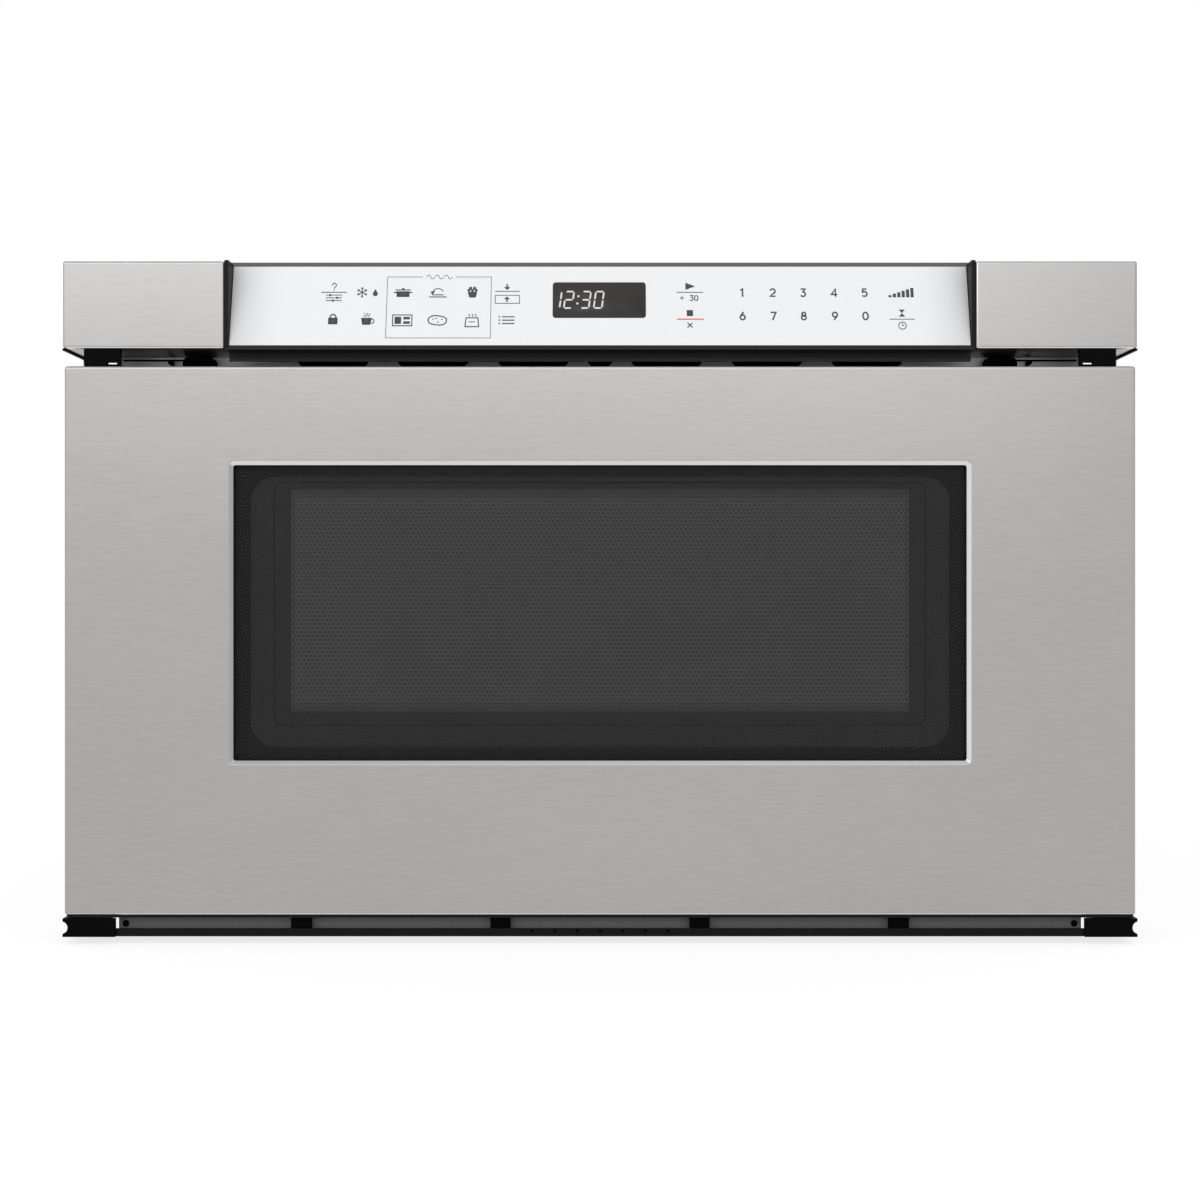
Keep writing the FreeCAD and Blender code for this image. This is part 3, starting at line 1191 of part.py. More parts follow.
# ---------------------------------------------------------------- drawer
def drawer_pan():
    """Deep pan welded from a floor, two sides and a back; the door closes its front."""
    half = PAN_HALF_W
    outer = half + PAN_WALL
    floor = box(-outer, outer, DOOR_BACK, PAN_BACK + PAN_WALL, PAN_Z0, PAN_FLOOR)
    side = box(half, outer, DOOR_BACK, PAN_BACK + PAN_WALL, PAN_FLOOR, PAN_Z1)
    back = box(-half, half, PAN_BACK, PAN_BACK + PAN_WALL, PAN_FLOOR, PAN_Z1)
    return [floor, back] + pair(side)


def glass_tray():
    """Ceramic floor plate that lies in the pan."""
    half = PAN_HALF_W - TRAY_CLEAR
    return rounded_box(-half, half, DOOR_BACK + TRAY_CLEAR, PAN_BACK - TRAY_CLEAR,
                       PAN_FLOOR, PAN_FLOOR + TRAY_T, TRAY_CORNER_R)


def carrier_rail():
    """Right-hand rail on the door's back that carries the drawer on its slide."""
    web = box(CARRIER_X, SLIDE_X, FRAME_BACK, RACK_BACK, CARRIER_Z0, CARRIER_Z1)
    ledge = box(CARRIER_X - CARRIER_LEDGE, CARRIER_X, FRAME_BACK, RACK_BACK,
                CARRIER_Z1 - CARRIER_SHEET, CARRIER_Z1)
    foot = box(CARRIER_X - CARRIER_LEDGE, CARRIER_X, FRAME_BACK, FRAME_BACK + CARRIER_SHEET,
               CARRIER_Z0, CARRIER_Z1 - CARRIER_SHEET)
    return fused([web, ledge, foot])


def carrier_crossbar():
    """Bar that ties the two carriers together at their back ends."""
    return box(-CARRIER_X + CARRIER_LEDGE, CARRIER_X - CARRIER_LEDGE, RACK_BACK - 30, RACK_BACK - 6,
               CARRIER_Z1 - CARRIER_SHEET, CARRIER_Z1)


# ---------------------------------------------------------------- ball-bearing slides
STEP = 2 * BALL_R + 2 * BALL_GAP


def channel(x_web, x_lips, half_h, y0, y1):
    """Channel section along Y: a web at one side and two flanges that reach to the lips."""
    inward = math.copysign(1, x_lips - x_web)
    xs = sorted((x_web, x_lips))
    outer = box(xs[0], xs[1], y0, y1, SLIDE_Z - half_h, SLIDE_Z + half_h)
    xs = sorted((x_web + inward * SLIDE_SHEET, x_lips))
    inner = box(xs[0], xs[1], y0, y1, SLIDE_Z - half_h + SLIDE_SHEET, SLIDE_Z + half_h - SLIDE_SHEET)
    return outer.cut(inner)


OUTER_HALF_H = SLIDE_H / 2
OUTER_BALL_Z = OUTER_HALF_H - SLIDE_SHEET - BALL_GAP - BALL_R
MIDDLE_HALF_H = OUTER_HALF_H - SLIDE_SHEET - STEP
INNER_BALL_Z = MIDDLE_HALF_H - SLIDE_SHEET - BALL_GAP - BALL_R
INNER_HALF_H = MIDDLE_HALF_H - SLIDE_SHEET - STEP
MIDDLE_WEB_X = BRACKET_X - SLIDE_SHEET - CAGE_T - 2 * BALL_GAP
INNER_LIP_X = MIDDLE_WEB_X - SLIDE_SHEET - CAGE_T - 2 * BALL_GAP
OUTER_LIP_X = SLIDE_X + 3.0


def outer_slide():
    return channel(BRACKET_X, OUTER_LIP_X, OUTER_HALF_H, SLIDE_Y0, SLIDE_Y1)


def middle_slide():
    return channel(MIDDLE_WEB_X, OUTER_LIP_X - 0.6, MIDDLE_HALF_H, SLIDE_Y0, SLIDE_Y1)


def inner_slide():
    return channel(SLIDE_X, INNER_LIP_X, INNER_HALF_H, SLIDE_Y0 - 4.0, SLIDE_Y1 - 20.0)


CAGE_LEN = BALL_PITCH * (BALLS_PER_ROW - 1) + 16


def ball_cage(web_x, ball_z):
    """Folded strip with a row of balls above and below, halfway along the closed slide."""
    y0 = (SLIDE_Y0 + SLIDE_Y1 - CAGE_LEN) / 2
    ball_x = web_x - CAGE_T - BALL_R - 0.4
    strip_x = ball_x - BALL_R - 0.6
    half = ball_z + CAGE_T / 2
    outer = box(strip_x, web_x, y0, y0 + CAGE_LEN, SLIDE_Z - half, SLIDE_Z + half)
    inner = box(strip_x, web_x - CAGE_T, y0, y0 + CAGE_LEN,
                SLIDE_Z - half + CAGE_T, SLIDE_Z + half - CAGE_T)
    cage = outer.cut(inner)
    balls = []
    for side in (-1, 1):
        for y in spread(BALLS_PER_ROW, BALL_PITCH, y0 + CAGE_LEN / 2):
            z = SLIDE_Z + side * ball_z
            cage = cage.cut(rod(BALL_R + RUNNING, (ball_x, y, z - 1), (ball_x, y, z + 1)))
            balls.append(Part.makeSphere(BALL_R, FreeCAD.Vector(ball_x, y, z)))
    right = [cage] + balls
    return right + [mirrored(piece) for piece in right]


def outer_ball_cages():
    return ball_cage(BRACKET_X - SLIDE_SHEET - BALL_GAP, OUTER_BALL_Z)


def inner_ball_cages():
    return ball_cage(MIDDLE_WEB_X - SLIDE_SHEET - BALL_GAP, INNER_BALL_Z)


def slide_bracket():
    """Angle on the base that carries the slide's fixed member."""
    upright = box(BRACKET_X, BRACKET_X + CARRIER_SHEET, FLANGE_BACK, SLIDE_Y1, BASE_TOP,
                  SLIDE_Z + OUTER_HALF_H)
    foot = box(BRACKET_X + CARRIER_SHEET, BRACKET_X + 24, FLANGE_BACK, SLIDE_Y1,
               BASE_TOP, BASE_TOP + CARRIER_SHEET)
    return fused([upright, foot])


# ---------------------------------------------------------------- drive
def drive_shaft():
    end = RACK_X + GEAR_W
    return rod(SHAFT_R, (-end, SHAFT_Y, SHAFT_Z), (end, SHAFT_Y, SHAFT_Z))


def rack_pinions():
    """Pinions on the shaft's ends; a space between two teeth faces up into the rack."""
    x0 = RACK_X
    blank = gear(PINION_TEETH, SHAFT_Y, SHAFT_Z, x0, x0 + GEAR_W, 90 + 180 / PINION_TEETH)
    bore = rod(SHAFT_R + RUNNING, (x0 - 1, SHAFT_Y, SHAFT_Z), (x0 + GEAR_W + 1, SHAFT_Y, SHAFT_Z))
    return pair(blank.cut(bore))


GEAR_X1 = 0.0


def shaft_gear():
    """Large gear in the middle of the shaft, with a hub."""
    x0 = GEAR_X1 - GEAR_W
    wheel = gear(GEAR_TEETH, SHAFT_Y, SHAFT_Z, x0, GEAR_X1)
    hub = rod(SHAFT_R * 2, (x0 - 8, SHAFT_Y, SHAFT_Z), (x0, SHAFT_Y, SHAFT_Z))
    bore = rod(SHAFT_R + RUNNING, (x0 - 9, SHAFT_Y, SHAFT_Z), (GEAR_X1 + 1, SHAFT_Y, SHAFT_Z))
    return fused([wheel, hub]).cut(bore)


BEARING_HALF = 12.0
BEARING_FOOT_T = 4.0


def shaft_bearings():
    """Pedestals on the base, each with a plain bearing for the shaft."""
    x1 = RACK_X - 6.0
    y0, y1 = SHAFT_Y - BEARING_HALF, SHAFT_Y + BEARING_HALF
    block = box(x1 - BEARING_W, x1, y0, y1, BASE_TOP, SHAFT_Z + BEARING_HALF)
    foot = box(x1 - BEARING_W - BEARING_HALF, x1, y0, y1, BASE_TOP, BASE_TOP + BEARING_FOOT_T)
    bore = rod(SHAFT_R + RUNNING, (x1 - BEARING_W, SHAFT_Y, SHAFT_Z), (x1, SHAFT_Y, SHAFT_Z))
    return pair(fused([block, foot]).cut(bore))


MOTOR_PLATE_X = GEAR_X1 + 3.0
GEARBOX_X = MOTOR_PLATE_X + 1.5
GEARBOX_T = 20.0
GEARBOX_Y0 = MOTOR_Y - 20.0
GEARBOX_Y1 = MOTOR_Y + 26.0
GEARBOX_HALF_H = 24.0
CAN_R = 17.0
CAN_L = 46.0
CAN_BEHIND = 6.0
BRACKET_FOOT_W = 30.0
BRACKET_T = 1.5


def motor_pinion():
    """Small gear on the gearmotor's output shaft, in mesh with the shaft's gear."""
    x0 = GEAR_X1 - GEAR_W + 0.5
    x1 = GEAR_X1 - 0.5
    wheel = gear(PINION_TEETH, MOTOR_Y, SHAFT_Z, x0, x1, 180 + 180 / PINION_TEETH)
    shaft = rod(MOTOR_SHAFT_R, (x0, MOTOR_Y, SHAFT_Z), (GEARBOX_X + GEARBOX_T / 2, MOTOR_Y, SHAFT_Z))
    return fused([wheel, shaft])


def drive_motor():
    """Gearbox with its motor behind it; the gearbox holds the output shaft."""
    box_x1 = GEARBOX_X + GEARBOX_T
    case = box(GEARBOX_X, box_x1, GEARBOX_Y0, GEARBOX_Y1,
               SHAFT_Z - GEARBOX_HALF_H, SHAFT_Z + GEARBOX_HALF_H)
    can_y = MOTOR_Y + CAN_BEHIND
    can = rod(CAN_R, (box_x1, can_y, SHAFT_Z), (box_x1 + CAN_L, can_y, SHAFT_Z))
    socket = rod(MOTOR_SHAFT_R + RUNNING, (GEARBOX_X, MOTOR_Y, SHAFT_Z),
                 (GEARBOX_X + GEARBOX_T / 2 + 0.5, MOTOR_Y, SHAFT_Z))
    return fused([case, can]).cut(socket)


def motor_bracket():
    """Angle plate on the base that carries the gearbox."""
    plate = box(MOTOR_PLATE_X, GEARBOX_X, GEARBOX_Y0, GEARBOX_Y1,
                BASE_TOP, SHAFT_Z + GEARBOX_HALF_H)
    foot = box(GEARBOX_X, GEARBOX_X + BRACKET_FOOT_W, GEARBOX_Y0, GEARBOX_Y1,
               BASE_TOP, BASE_TOP + BRACKET_T)
    hole = rod(MOTOR_SHAFT_R + 2, (MOTOR_PLATE_X, MOTOR_Y, SHAFT_Z), (GEARBOX_X, MOTOR_Y, SHAFT_Z))
    return fused([plate, foot]).cut(hole)


# ---------------------------------------------------------------- write every piece
PIECES = {
    "base_plate": base_plate,
    "side_panels": lambda: pair(side_panel()),
    "top_cover": top_cover,
    "rear_cover": rear_cover,
    "cover_screws": cover_screws,
    "cord_gland": cord_gland,
    "front_flange": front_flange,
    "cavity_shell": cavity_shell,
    "exhaust_duct": exhaust_duct,
    "stirrer_cover": stirrer_cover,
    "waveguide": lambda: [waveguide(), antenna_well()],
    "stirrer_motor": stirrer_motor,
    "stirrer_antenna": stirrer_antenna,
    "magnetron_yoke": magnetron_yoke,
    "magnetron_tube": magnetron_tube,
    "cooling_fins": cooling_fins,
    "filter_box": filter_box,
    "transformer_core": transformer_core,
    "transformer_windings": transformer_windings,
    "hv_capacitor": hv_capacitor,
    "capacitor_clamp": capacitor_clamp,
    "hv_diode": hv_diode,
    "noise_filter_board": noise_filter_board,
    "fan_housing": fan_housing,
    "air_duct": air_duct,
    "fan_wheel": fan_wheel,
    "fan_motor": fan_motor,
    "oven_lamp": oven_lamp,
    "cavity_sensors": lambda: thermal_cutouts() + [steam_sensor()],
    "switch_brackets": switch_brackets,
    "interlock_switches": interlock_switches,
    "control_frame": control_frame,
    "control_glass": control_glass,
    "control_board": lambda: [control_board(), display_module()],
    "end_panels": lambda: pair(end_panel()),
    "door_bumpers": lambda: door_bumpers() + trim_bumpers(),
    "lower_trim": lower_trim,
    "corner_blocks": lambda: corner_blocks() + end_spacers(),
    "outer_slides": lambda: pair(outer_slide()),
    "slide_brackets": lambda: pair(slide_bracket()),
    "shaft_bearings": shaft_bearings,
    "drive_motor": drive_motor,
    "motor_bracket": motor_bracket,
    "door_panel": door_panel,
    "window_glass": window_glass,
    "door_screen": door_screen,
    "door_frame": door_frame,
    "choke_cover": choke_cover,
    "inner_glass": inner_glass,
    "latch_heads": latch_heads,
    "drawer_pan": drawer_pan,
    "glass_tray": glass_tray,
    "carrier_rails": lambda: pair(carrier_rail()) + [carrier_crossbar()],
    "toothed_racks": lambda: pair(rack(RACK_X, CARRIER_X)),
    "inner_slides": lambda: pair(inner_slide()),
    "middle_slides": lambda: pair(middle_slide()),
    "ball_cages_outer": outer_ball_cages,
    "ball_cages_inner": inner_ball_cages,
    "drive_shaft": lambda: [drive_shaft(), shaft_gear()] + rack_pinions(),
    "motor_pinion": motor_pinion,
}

if __name__ == "__main__":
    os.makedirs("parts", exist_ok=True)
    for name, make in PIECES.items():
        save(name, make())
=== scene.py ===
# %% [markdown]
# # A microwave drawer, finished in Blender
# The packed CAD model already has every piece in its place and at its real size. This lesson
# keeps it as a fixed frame. It gives each piece the finish of the real one, and adds what a solid
# model leaves out: soft edges, printed keys, lit digits and the fine holes of the door screen.

# %% Load the packed model
import json
import math
import bmesh
import bpy
import mathutils
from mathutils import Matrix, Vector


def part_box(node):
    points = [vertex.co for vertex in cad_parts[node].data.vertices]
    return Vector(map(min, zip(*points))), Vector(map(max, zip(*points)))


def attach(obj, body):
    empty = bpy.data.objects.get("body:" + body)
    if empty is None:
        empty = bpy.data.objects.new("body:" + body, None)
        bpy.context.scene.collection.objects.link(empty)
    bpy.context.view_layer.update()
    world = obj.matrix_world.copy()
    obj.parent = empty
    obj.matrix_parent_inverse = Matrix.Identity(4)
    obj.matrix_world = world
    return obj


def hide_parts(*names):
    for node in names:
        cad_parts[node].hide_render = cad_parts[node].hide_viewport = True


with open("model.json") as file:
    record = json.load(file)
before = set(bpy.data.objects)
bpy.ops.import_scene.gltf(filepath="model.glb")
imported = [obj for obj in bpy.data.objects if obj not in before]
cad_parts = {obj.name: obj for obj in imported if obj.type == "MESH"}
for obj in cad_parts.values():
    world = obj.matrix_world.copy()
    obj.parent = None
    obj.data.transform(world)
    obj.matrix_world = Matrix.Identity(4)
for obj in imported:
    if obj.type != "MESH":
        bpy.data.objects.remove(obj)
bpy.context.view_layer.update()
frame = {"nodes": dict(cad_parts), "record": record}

nodes = frame["nodes"]
MM = 0.001

# %% [markdown]
# ## Measuring the frame
# Pieces that are added later have to sit on the CAD pieces, whatever their size. So places are
# read from the frame instead of being typed again. A span in millimetres is handy, because every
# detail on an appliance is a few millimetres across.

# %% Lowest and highest corner of a CAD piece, in millimetres
def span(node):
    low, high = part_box(node)
    return [value / MM for value in low], [value / MM for value in high]


door_low, door_high = span("door_panel")
glass_low, glass_high = span("window_glass")
panel_low, panel_high = span("control_glass")
print("door", door_low, door_high)

# %% [markdown]
# ## Arithmetic on shader wires
# A shader's maths is a chain of Math nodes, which is slow to write and hard to read. One small
# class wraps an output and gives it Python's operators, so that `1 - mask` adds the node itself.
# The reflected forms matter: without them a number on the left would stop the script.

# %% A wire that can be added, multiplied and compared
class Wire:
    """One output of a shader node; arithmetic on it adds Math nodes."""

    def __init__(self, wiring, socket):
        self.wiring = wiring
        self.socket = socket

    def math(self, operation, *values):
        return self.wiring.node("ShaderNodeMath", {"operation": operation}, dict(enumerate(values)))

    def __rsub__(self, other):
        return self.math("SUBTRACT", other, self)

    def __abs__(self):
        return self.math("ABSOLUTE", self)

    def limited(self):
        return self.math("MINIMUM", self.math("MAXIMUM", self, 0.0), 1.0)


OPERATORS = {"add": "ADD", "radd": "ADD", "sub": "SUBTRACT", "mul": "MULTIPLY", "rmul": "MULTIPLY",
             "truediv": "DIVIDE", "mod": "FLOORED_MODULO", "pow": "POWER",
             "gt": "GREATER_THAN", "lt": "LESS_THAN"}
for word, operation in OPERATORS.items():
    setattr(Wire, f"__{word}__",
            lambda self, other, operation=operation: self.math(operation, self, other))


class Wiring:
    """A node tree that hands out wires."""

    def __init__(self, tree):
        self.tree = tree

    def node(self, kind, settings=None, inputs=None, output=0):
        made = self.tree.nodes.new(kind)
        for key, value in (settings or {}).items():
            setattr(made, key, value)
        for key, value in (inputs or {}).items():
            self.feed(made.inputs[key], value)
        return Wire(self, made.outputs[output])

    def feed(self, socket, value):
        if isinstance(value, Wire):
            self.tree.links.new(value.socket, socket)
        else:
            socket.default_value = value

    def mix(self, amount, first, second):
        """Colour between two colours."""
        inputs = {0: amount, 6: first, 7: second}
        return self.node("ShaderNodeMix", {"data_type": "RGBA"}, inputs, 2)


def grey(value):
    return (value, value, value, 1.0)


# %% [markdown]
# ## A finish
# Every real surface varies: paint has a skin like an orange, steel has a grain, plastic has a
# spark-eroded texture. A finish starts from one colour, one roughness and one metalness. Its
# methods then add that variation, measured in millimetres from the piece itself, so the grain
# stays the same size on a large door and on a small screw.

# %% The material builder
finishes = {}


class Finish(Wiring):
    """A named material, its node tree and its one main shader."""

    def __init__(self, name, colour, roughness, metallic=0.0, specular=0.5, coat=0.0):
        material = finishes[name] = bpy.data.materials.new(name)
        material.use_nodes = True
        material.diffuse_color = (*colour, 1.0)
        super().__init__(material.node_tree)
        self.shader = self.tree.nodes["Principled BSDF"]
        self.colour = (*colour, 1.0)
        self.place = self.node("ShaderNodeTexCoord", output="Object")
        constants = {"Base Color": self.colour, "Roughness": roughness, "Metallic": metallic,
                     "Specular IOR Level": specular, "Coat Weight": coat}
        for socket, value in constants.items():
            self.set(socket, value)

    def set(self, socket, value):
        self.feed(self.shader.inputs[socket], value)

    def axis(self, name):
        """Distance along X, Y or Z in millimetres."""
        return self.node("ShaderNodeSeparateXYZ", inputs={0: self.place}, output=name) * 1000.0

    def scaled(self, size, stretch):
        factors = tuple(1.0 / (size * MM * share) for share in stretch)
        inputs = {0: self.place, 1: factors}
        return self.node("ShaderNodeVectorMath", {"operation": "MULTIPLY"}, inputs)

    def noise(self, size, detail=2.0, stretch=(1, 1, 1)):
        """Smooth random value about 0.5 with lumps of a size in millimetres."""
        inputs = {"Vector": self.scaled(size, stretch), "Scale": 1.0, "Detail": detail}
        return self.node("ShaderNodeTexNoise", inputs=inputs, output="Fac")

    def cells(self, size, output="Distance", stretch=(1, 1, 1)):
        """Random cells of a size in millimetres: crystals, speckles or grains."""
        inputs = {"Vector": self.scaled(size, stretch), "Scale": 1.0}
        return self.node("ShaderNodeTexVoronoi", inputs=inputs, output=output)

    def shade(self, amount, lower, upper):
        """The base colour, made darker or lighter by a value from 0 to 1."""
        tones = [tuple(min(1.0, part * tone) for part in self.colour[:3]) + (1.0,)
                 for tone in (lower, upper)]
        mixed = self.mix(amount, *tones)
        self.set("Base Color", mixed)
        return mixed

    def relief(self, height, depth, strength=1.0):
        """Bump whose height of 1 stands for a depth in millimetres."""
        inputs = {"Height": height, "Distance": depth * MM, "Strength": strength}
        self.set("Normal", self.node("ShaderNodeBump", inputs=inputs))


print("a finish can be", *(word for word in vars(Finish) if not word.startswith("_")))

# %% [markdown]
# ## Brushed stainless steel
# The door skin and the end panels are brushed from side to side. A photograph of a fine grain
# could be wrapped over them, but noise that is pulled out along X gives the same look at any
# size. Long streaks and short ones are added, and both change the roughness a little, because
# that is what the eye reads as brushed.

# %% Stainless with a horizontal grain
def brushed_stainless():
    steel = Finish("brushed_stainless", (0.390, 0.385, 0.377), 0.33, 1.0)
    long_streaks = steel.noise(1.0, 3.0, (22.0, 0.9, 0.75))
    short_streaks = steel.noise(1.0, 2.0, (6.0, 0.4, 0.26))
    clouds = steel.noise(90.0, 2.0, (2.2, 1.0, 1.0))
    grain = long_streaks * 0.55 + short_streaks * 0.45
    steel.shade(grain * 0.78 + clouds * 0.22, 0.78, 1.22)
    steel.set("Roughness", 0.24 + grain * 0.18)
    steel.relief(grain, 0.010, 0.30)


def painted_edge_highlight():
    """The same steel, lighter on bends as a painted highlight, brightest on the door's lowest bend.
    """
    edge = Finish("painted_edge_highlight", (0.70, 0.695, 0.685), 0.24, 1.0)
    marks = edge.noise(0.8, 2.0, (9.0, 1.0, 1.0))
    highlight_tone = edge.shade(marks, 0.92, 1.08)
    # The lowest bend gets an even lighter colour: a painted highlight.
    lowest_highlight = edge.axis("Z") < door_low[2] + 2.0
    edge.set("Base Color", edge.mix(lowest_highlight, highlight_tone, (0.92, 0.915, 0.905, 1.0)))
    edge.set("Roughness", 0.20 + marks * 0.08)
    edge.relief(marks, 0.006, 0.25)


brushed_stainless()
painted_edge_highlight()
print("made", *finishes)

# %% [markdown]
# ## Sheet steels
# The casing is zinc-coated sheet: the zinc freezes in crystals, called spangle, each with its
# own tone. Voronoi cells are such crystals. Clips and slides have a thin zinc plating without
# spangle, with a soft mottle and fine drawing marks instead, and the screws are a darker steel.

# %% Galvanised, plated and drawn metal
def galvanised(name, colour):
    steel = Finish(name, colour, 0.50, 0.80)
    crystal = steel.node("ShaderNodeSeparateColor", inputs={0: steel.cells(7.0, "Color")})
    fine = steel.noise(1.4, 2.0)
    tone = crystal * 0.55 + fine * 0.45
    steel.shade(tone, 0.86, 1.12)
    steel.set("Roughness", 0.40 + tone * 0.20)
    steel.relief(steel.cells(7.0) * 0.4 + fine * 0.2, 0.02, 0.3)


TRIM_LIP_DEEP = 3.0


def two_tone_trim():
    """The lower trim: bare grey steel inside, painted black on its lip."""
    trim = Finish("trim_steel", (0.17, 0.17, 0.17), 0.45, specular=0.10)
    lip = trim.axis("Y") < span("lower_trim")[0][1] + TRIM_LIP_DEEP
    fine = trim.noise(1.2, 2.0)
    inside = trim.shade(fine, 0.88, 1.10)
    paint = trim.mix(fine, grey(0.0030), grey(0.0050))
    trim.set("Base Color", trim.mix(lip, inside, paint))
    trim.relief(fine, 0.012, 0.4)


def drawn_metal(name, colour, roughness, stretch=(1.0, 24.0, 1.0), metallic=0.9):
    metal = Finish(name, colour, roughness, metallic)
    marks = metal.noise(0.7, 2.0, stretch)
    mottle = metal.noise(6.0, 2.0)
    metal.shade(marks * 0.5 + mottle * 0.5, 0.84, 1.14)
    metal.set("Roughness", marks * 0.18 + (roughness - 0.09))
    metal.relief(marks, 0.01, 0.3)


ZINC_COATED = {"galvanised_steel": (0.50, 0.51, 0.515), "flange_steel": (0.58, 0.58, 0.58),
               "pressed_steel": (0.43, 0.44, 0.445), "waveguide_steel": (0.52, 0.54, 0.54)}
DRAWN = [
    ("zinc_steel", (0.56, 0.57, 0.58), 0.32),
    ("screw_steel", (0.20, 0.20, 0.21), 0.38, (1.0, 1.0, 1.0)),
    ("fin_aluminium", (0.72, 0.73, 0.74), 0.36, (12.0, 1.0, 1.0)),
    ("capacitor_can", (0.62, 0.63, 0.64), 0.38, (1.0, 1.0, 20.0)),
    ("motor_steel", (0.30, 0.31, 0.32), 0.45, (1.0, 1.0, 6.0), 0.7),
    ("ball_steel", (0.74, 0.74, 0.75), 0.16, (1.0, 1.0, 1.0), 1.0),
]
for name, colour in ZINC_COATED.items():
    galvanised(name, colour)
for name, *values in DRAWN:
    drawn_metal(name, *values)
two_tone_trim()
print(len(finishes), "finishes so far")

# %% [markdown]
# ## Paints, enamel and mouldings
# Black powder coat, grey oven enamel and moulded plastic differ mostly in their skin. A coat has
# broad low waves, enamel adds fired specks, and a moulding copies the fine pits of its steel
# mould. One recipe takes the size of the waves and the size of the grain, so each becomes a line.

# %% A coated or moulded skin
def skin(name, colour, roughness, wave=3.0, grain=0.35, depth=0.02, specks=0.0, gloss=0.5):
    coat = Finish(name, colour, roughness, specular=gloss)
    waves = coat.noise(wave, 2.0)
    grains = coat.noise(grain, 1.0)
    tone = coat.shade(waves * 0.5 + grains * 0.5, 0.82, 1.18)
    coat.set("Roughness", grains * 0.12 + (roughness - 0.06))
    if specks:
        spots = coat.cells(2.6) < 0.16
        coat.set("Base Color", coat.mix(spots * specks, tone, (0.02, 0.02, 0.022, 1.0)))
    coat.relief(waves * 0.6 + grains * 0.4, depth, 0.5)


SKINS = [
    ("black_coated_steel", (0.012, 0.012, 0.0125), 0.42, 2.4, 0.30, 0.020, 0.0, 0.16),
    ("cavity_enamel", (0.36, 0.37, 0.375), 0.24, 5.0, 0.60, 0.012, 0.7),
    ("black_plastic", (0.0060, 0.0060, 0.0065), 0.42, 8.0, 0.28, 0.016, 0.0, 0.12),
    ("block_plastic", (0.0020, 0.0020, 0.0022), 0.50, 8.0, 0.28, 0.016, 0.0, 0.03),
    ("black_rubber", (0.0022, 0.0022, 0.0022), 0.75, 5.0, 0.50, 0.030, 0.0, 0.02),
    ("grey_plastic", (0.27, 0.27, 0.28), 0.46, 8.0, 0.30, 0.016, 0.0),
    ("nylon", (0.74, 0.73, 0.68), 0.44, 9.0, 0.35, 0.014, 0.0),
    ("gear_acetal", (0.78, 0.77, 0.73), 0.36, 9.0, 0.30, 0.010, 0.0),
    ("tray_ceramic", (0.80, 0.80, 0.78), 0.16, 12.0, 0.80, 0.010, 0.25),
    ("magnet_ferrite", (0.075, 0.075, 0.078), 0.62, 4.0, 0.45, 0.040, 0.0),
]
for name, *values in SKINS:
    skin(name, *values)
print(len(finishes), "finishes so far")

# %% [markdown]
# The moulding around the controls is black too, but the narrow rim above the glass faces the light,
# so it gets a painted highlight: a grey that shows as a line. A second piece would do. But the
# rim's
# place is known: it is above the glass and in front of the back of the glass, so a mask in the
# shader finds it.

# %% Black frame with a painted highlight on its upper rim
def frame_plastic():
    moulding = Finish("frame_plastic", (0.0070, 0.0070, 0.0075), 0.36, specular=0.22)
    grains = moulding.noise(0.28, 1.0)
    black = moulding.shade(grains, 0.85, 1.15)
    rim_highlight = moulding.mix(grains, (0.100, 0.102, 0.102, 1.0), (0.118, 0.120, 0.120, 1.0))
    # The upper rim's grey is a painted highlight, where the rim faces the light.
    rim = (moulding.axis("Z") > panel_high[2]) * (moulding.axis("Y") < panel_high[1])
    moulding.set("Base Color", moulding.mix(rim, black, rim_highlight))
    moulding.relief(grains, 0.012, 0.5)


frame_plastic()

# %% [markdown]
# ## Wound and layered pieces
# The transformer's core is a stack of thin stamped sheets, its coils are rows of lacquered wire,
# and the antenna's cover is mica, which splits in flakes. Stripes at the real pitch of the sheets
# and of the wire say this better than any colour does.

# %% Laminations, copper turns and mica
def striped(name, colour, roughness, metallic, axis, pitch, depth):
    stack = Finish(name, colour, roughness, metallic)
    phase = stack.axis(axis) / pitch % 1.0
    ridge = 1.0 - abs(phase - 0.5) * 2.0
    tint = stack.noise(5.0, 2.0)
    stack.shade(ridge * 0.7 + tint * 0.3, 0.45, 1.25)
    stack.set("Roughness", roughness + tint * 0.12)
    stack.relief(ridge, depth, 0.8)


striped("core_laminate", (0.17, 0.17, 0.18), 0.45, 0.6, "Y", 0.5, 0.06)
striped("coil_enamel", (0.46, 0.19, 0.07), 0.28, 0.8, "Z", 0.9, 0.25)


def mica():
    sheet = Finish("mica", (0.62, 0.55, 0.44), 0.34, specular=0.6)
    flakes = sheet.cells(3.2, stretch=(1.8, 1.0, 1.0))
    veins = sheet.noise(14.0, 4.0)
    sheet.shade(flakes * 0.5 + veins * 0.6, 0.72, 1.22)
    sheet.set("Roughness", 0.24 + flakes * 0.3)
    sheet.relief(flakes, 0.03, 0.4)


mica()
print(len(finishes), "finishes so far")

# %% [markdown]
# ## Circuit boards
# A board is green lacquer over copper tracks. Tracks run in straight lines and turn on a grid, so
# a grid of random cells, some of them lit along X and some along Z, looks like a layout from a
# step away. The solder points are the specks on the same grid.

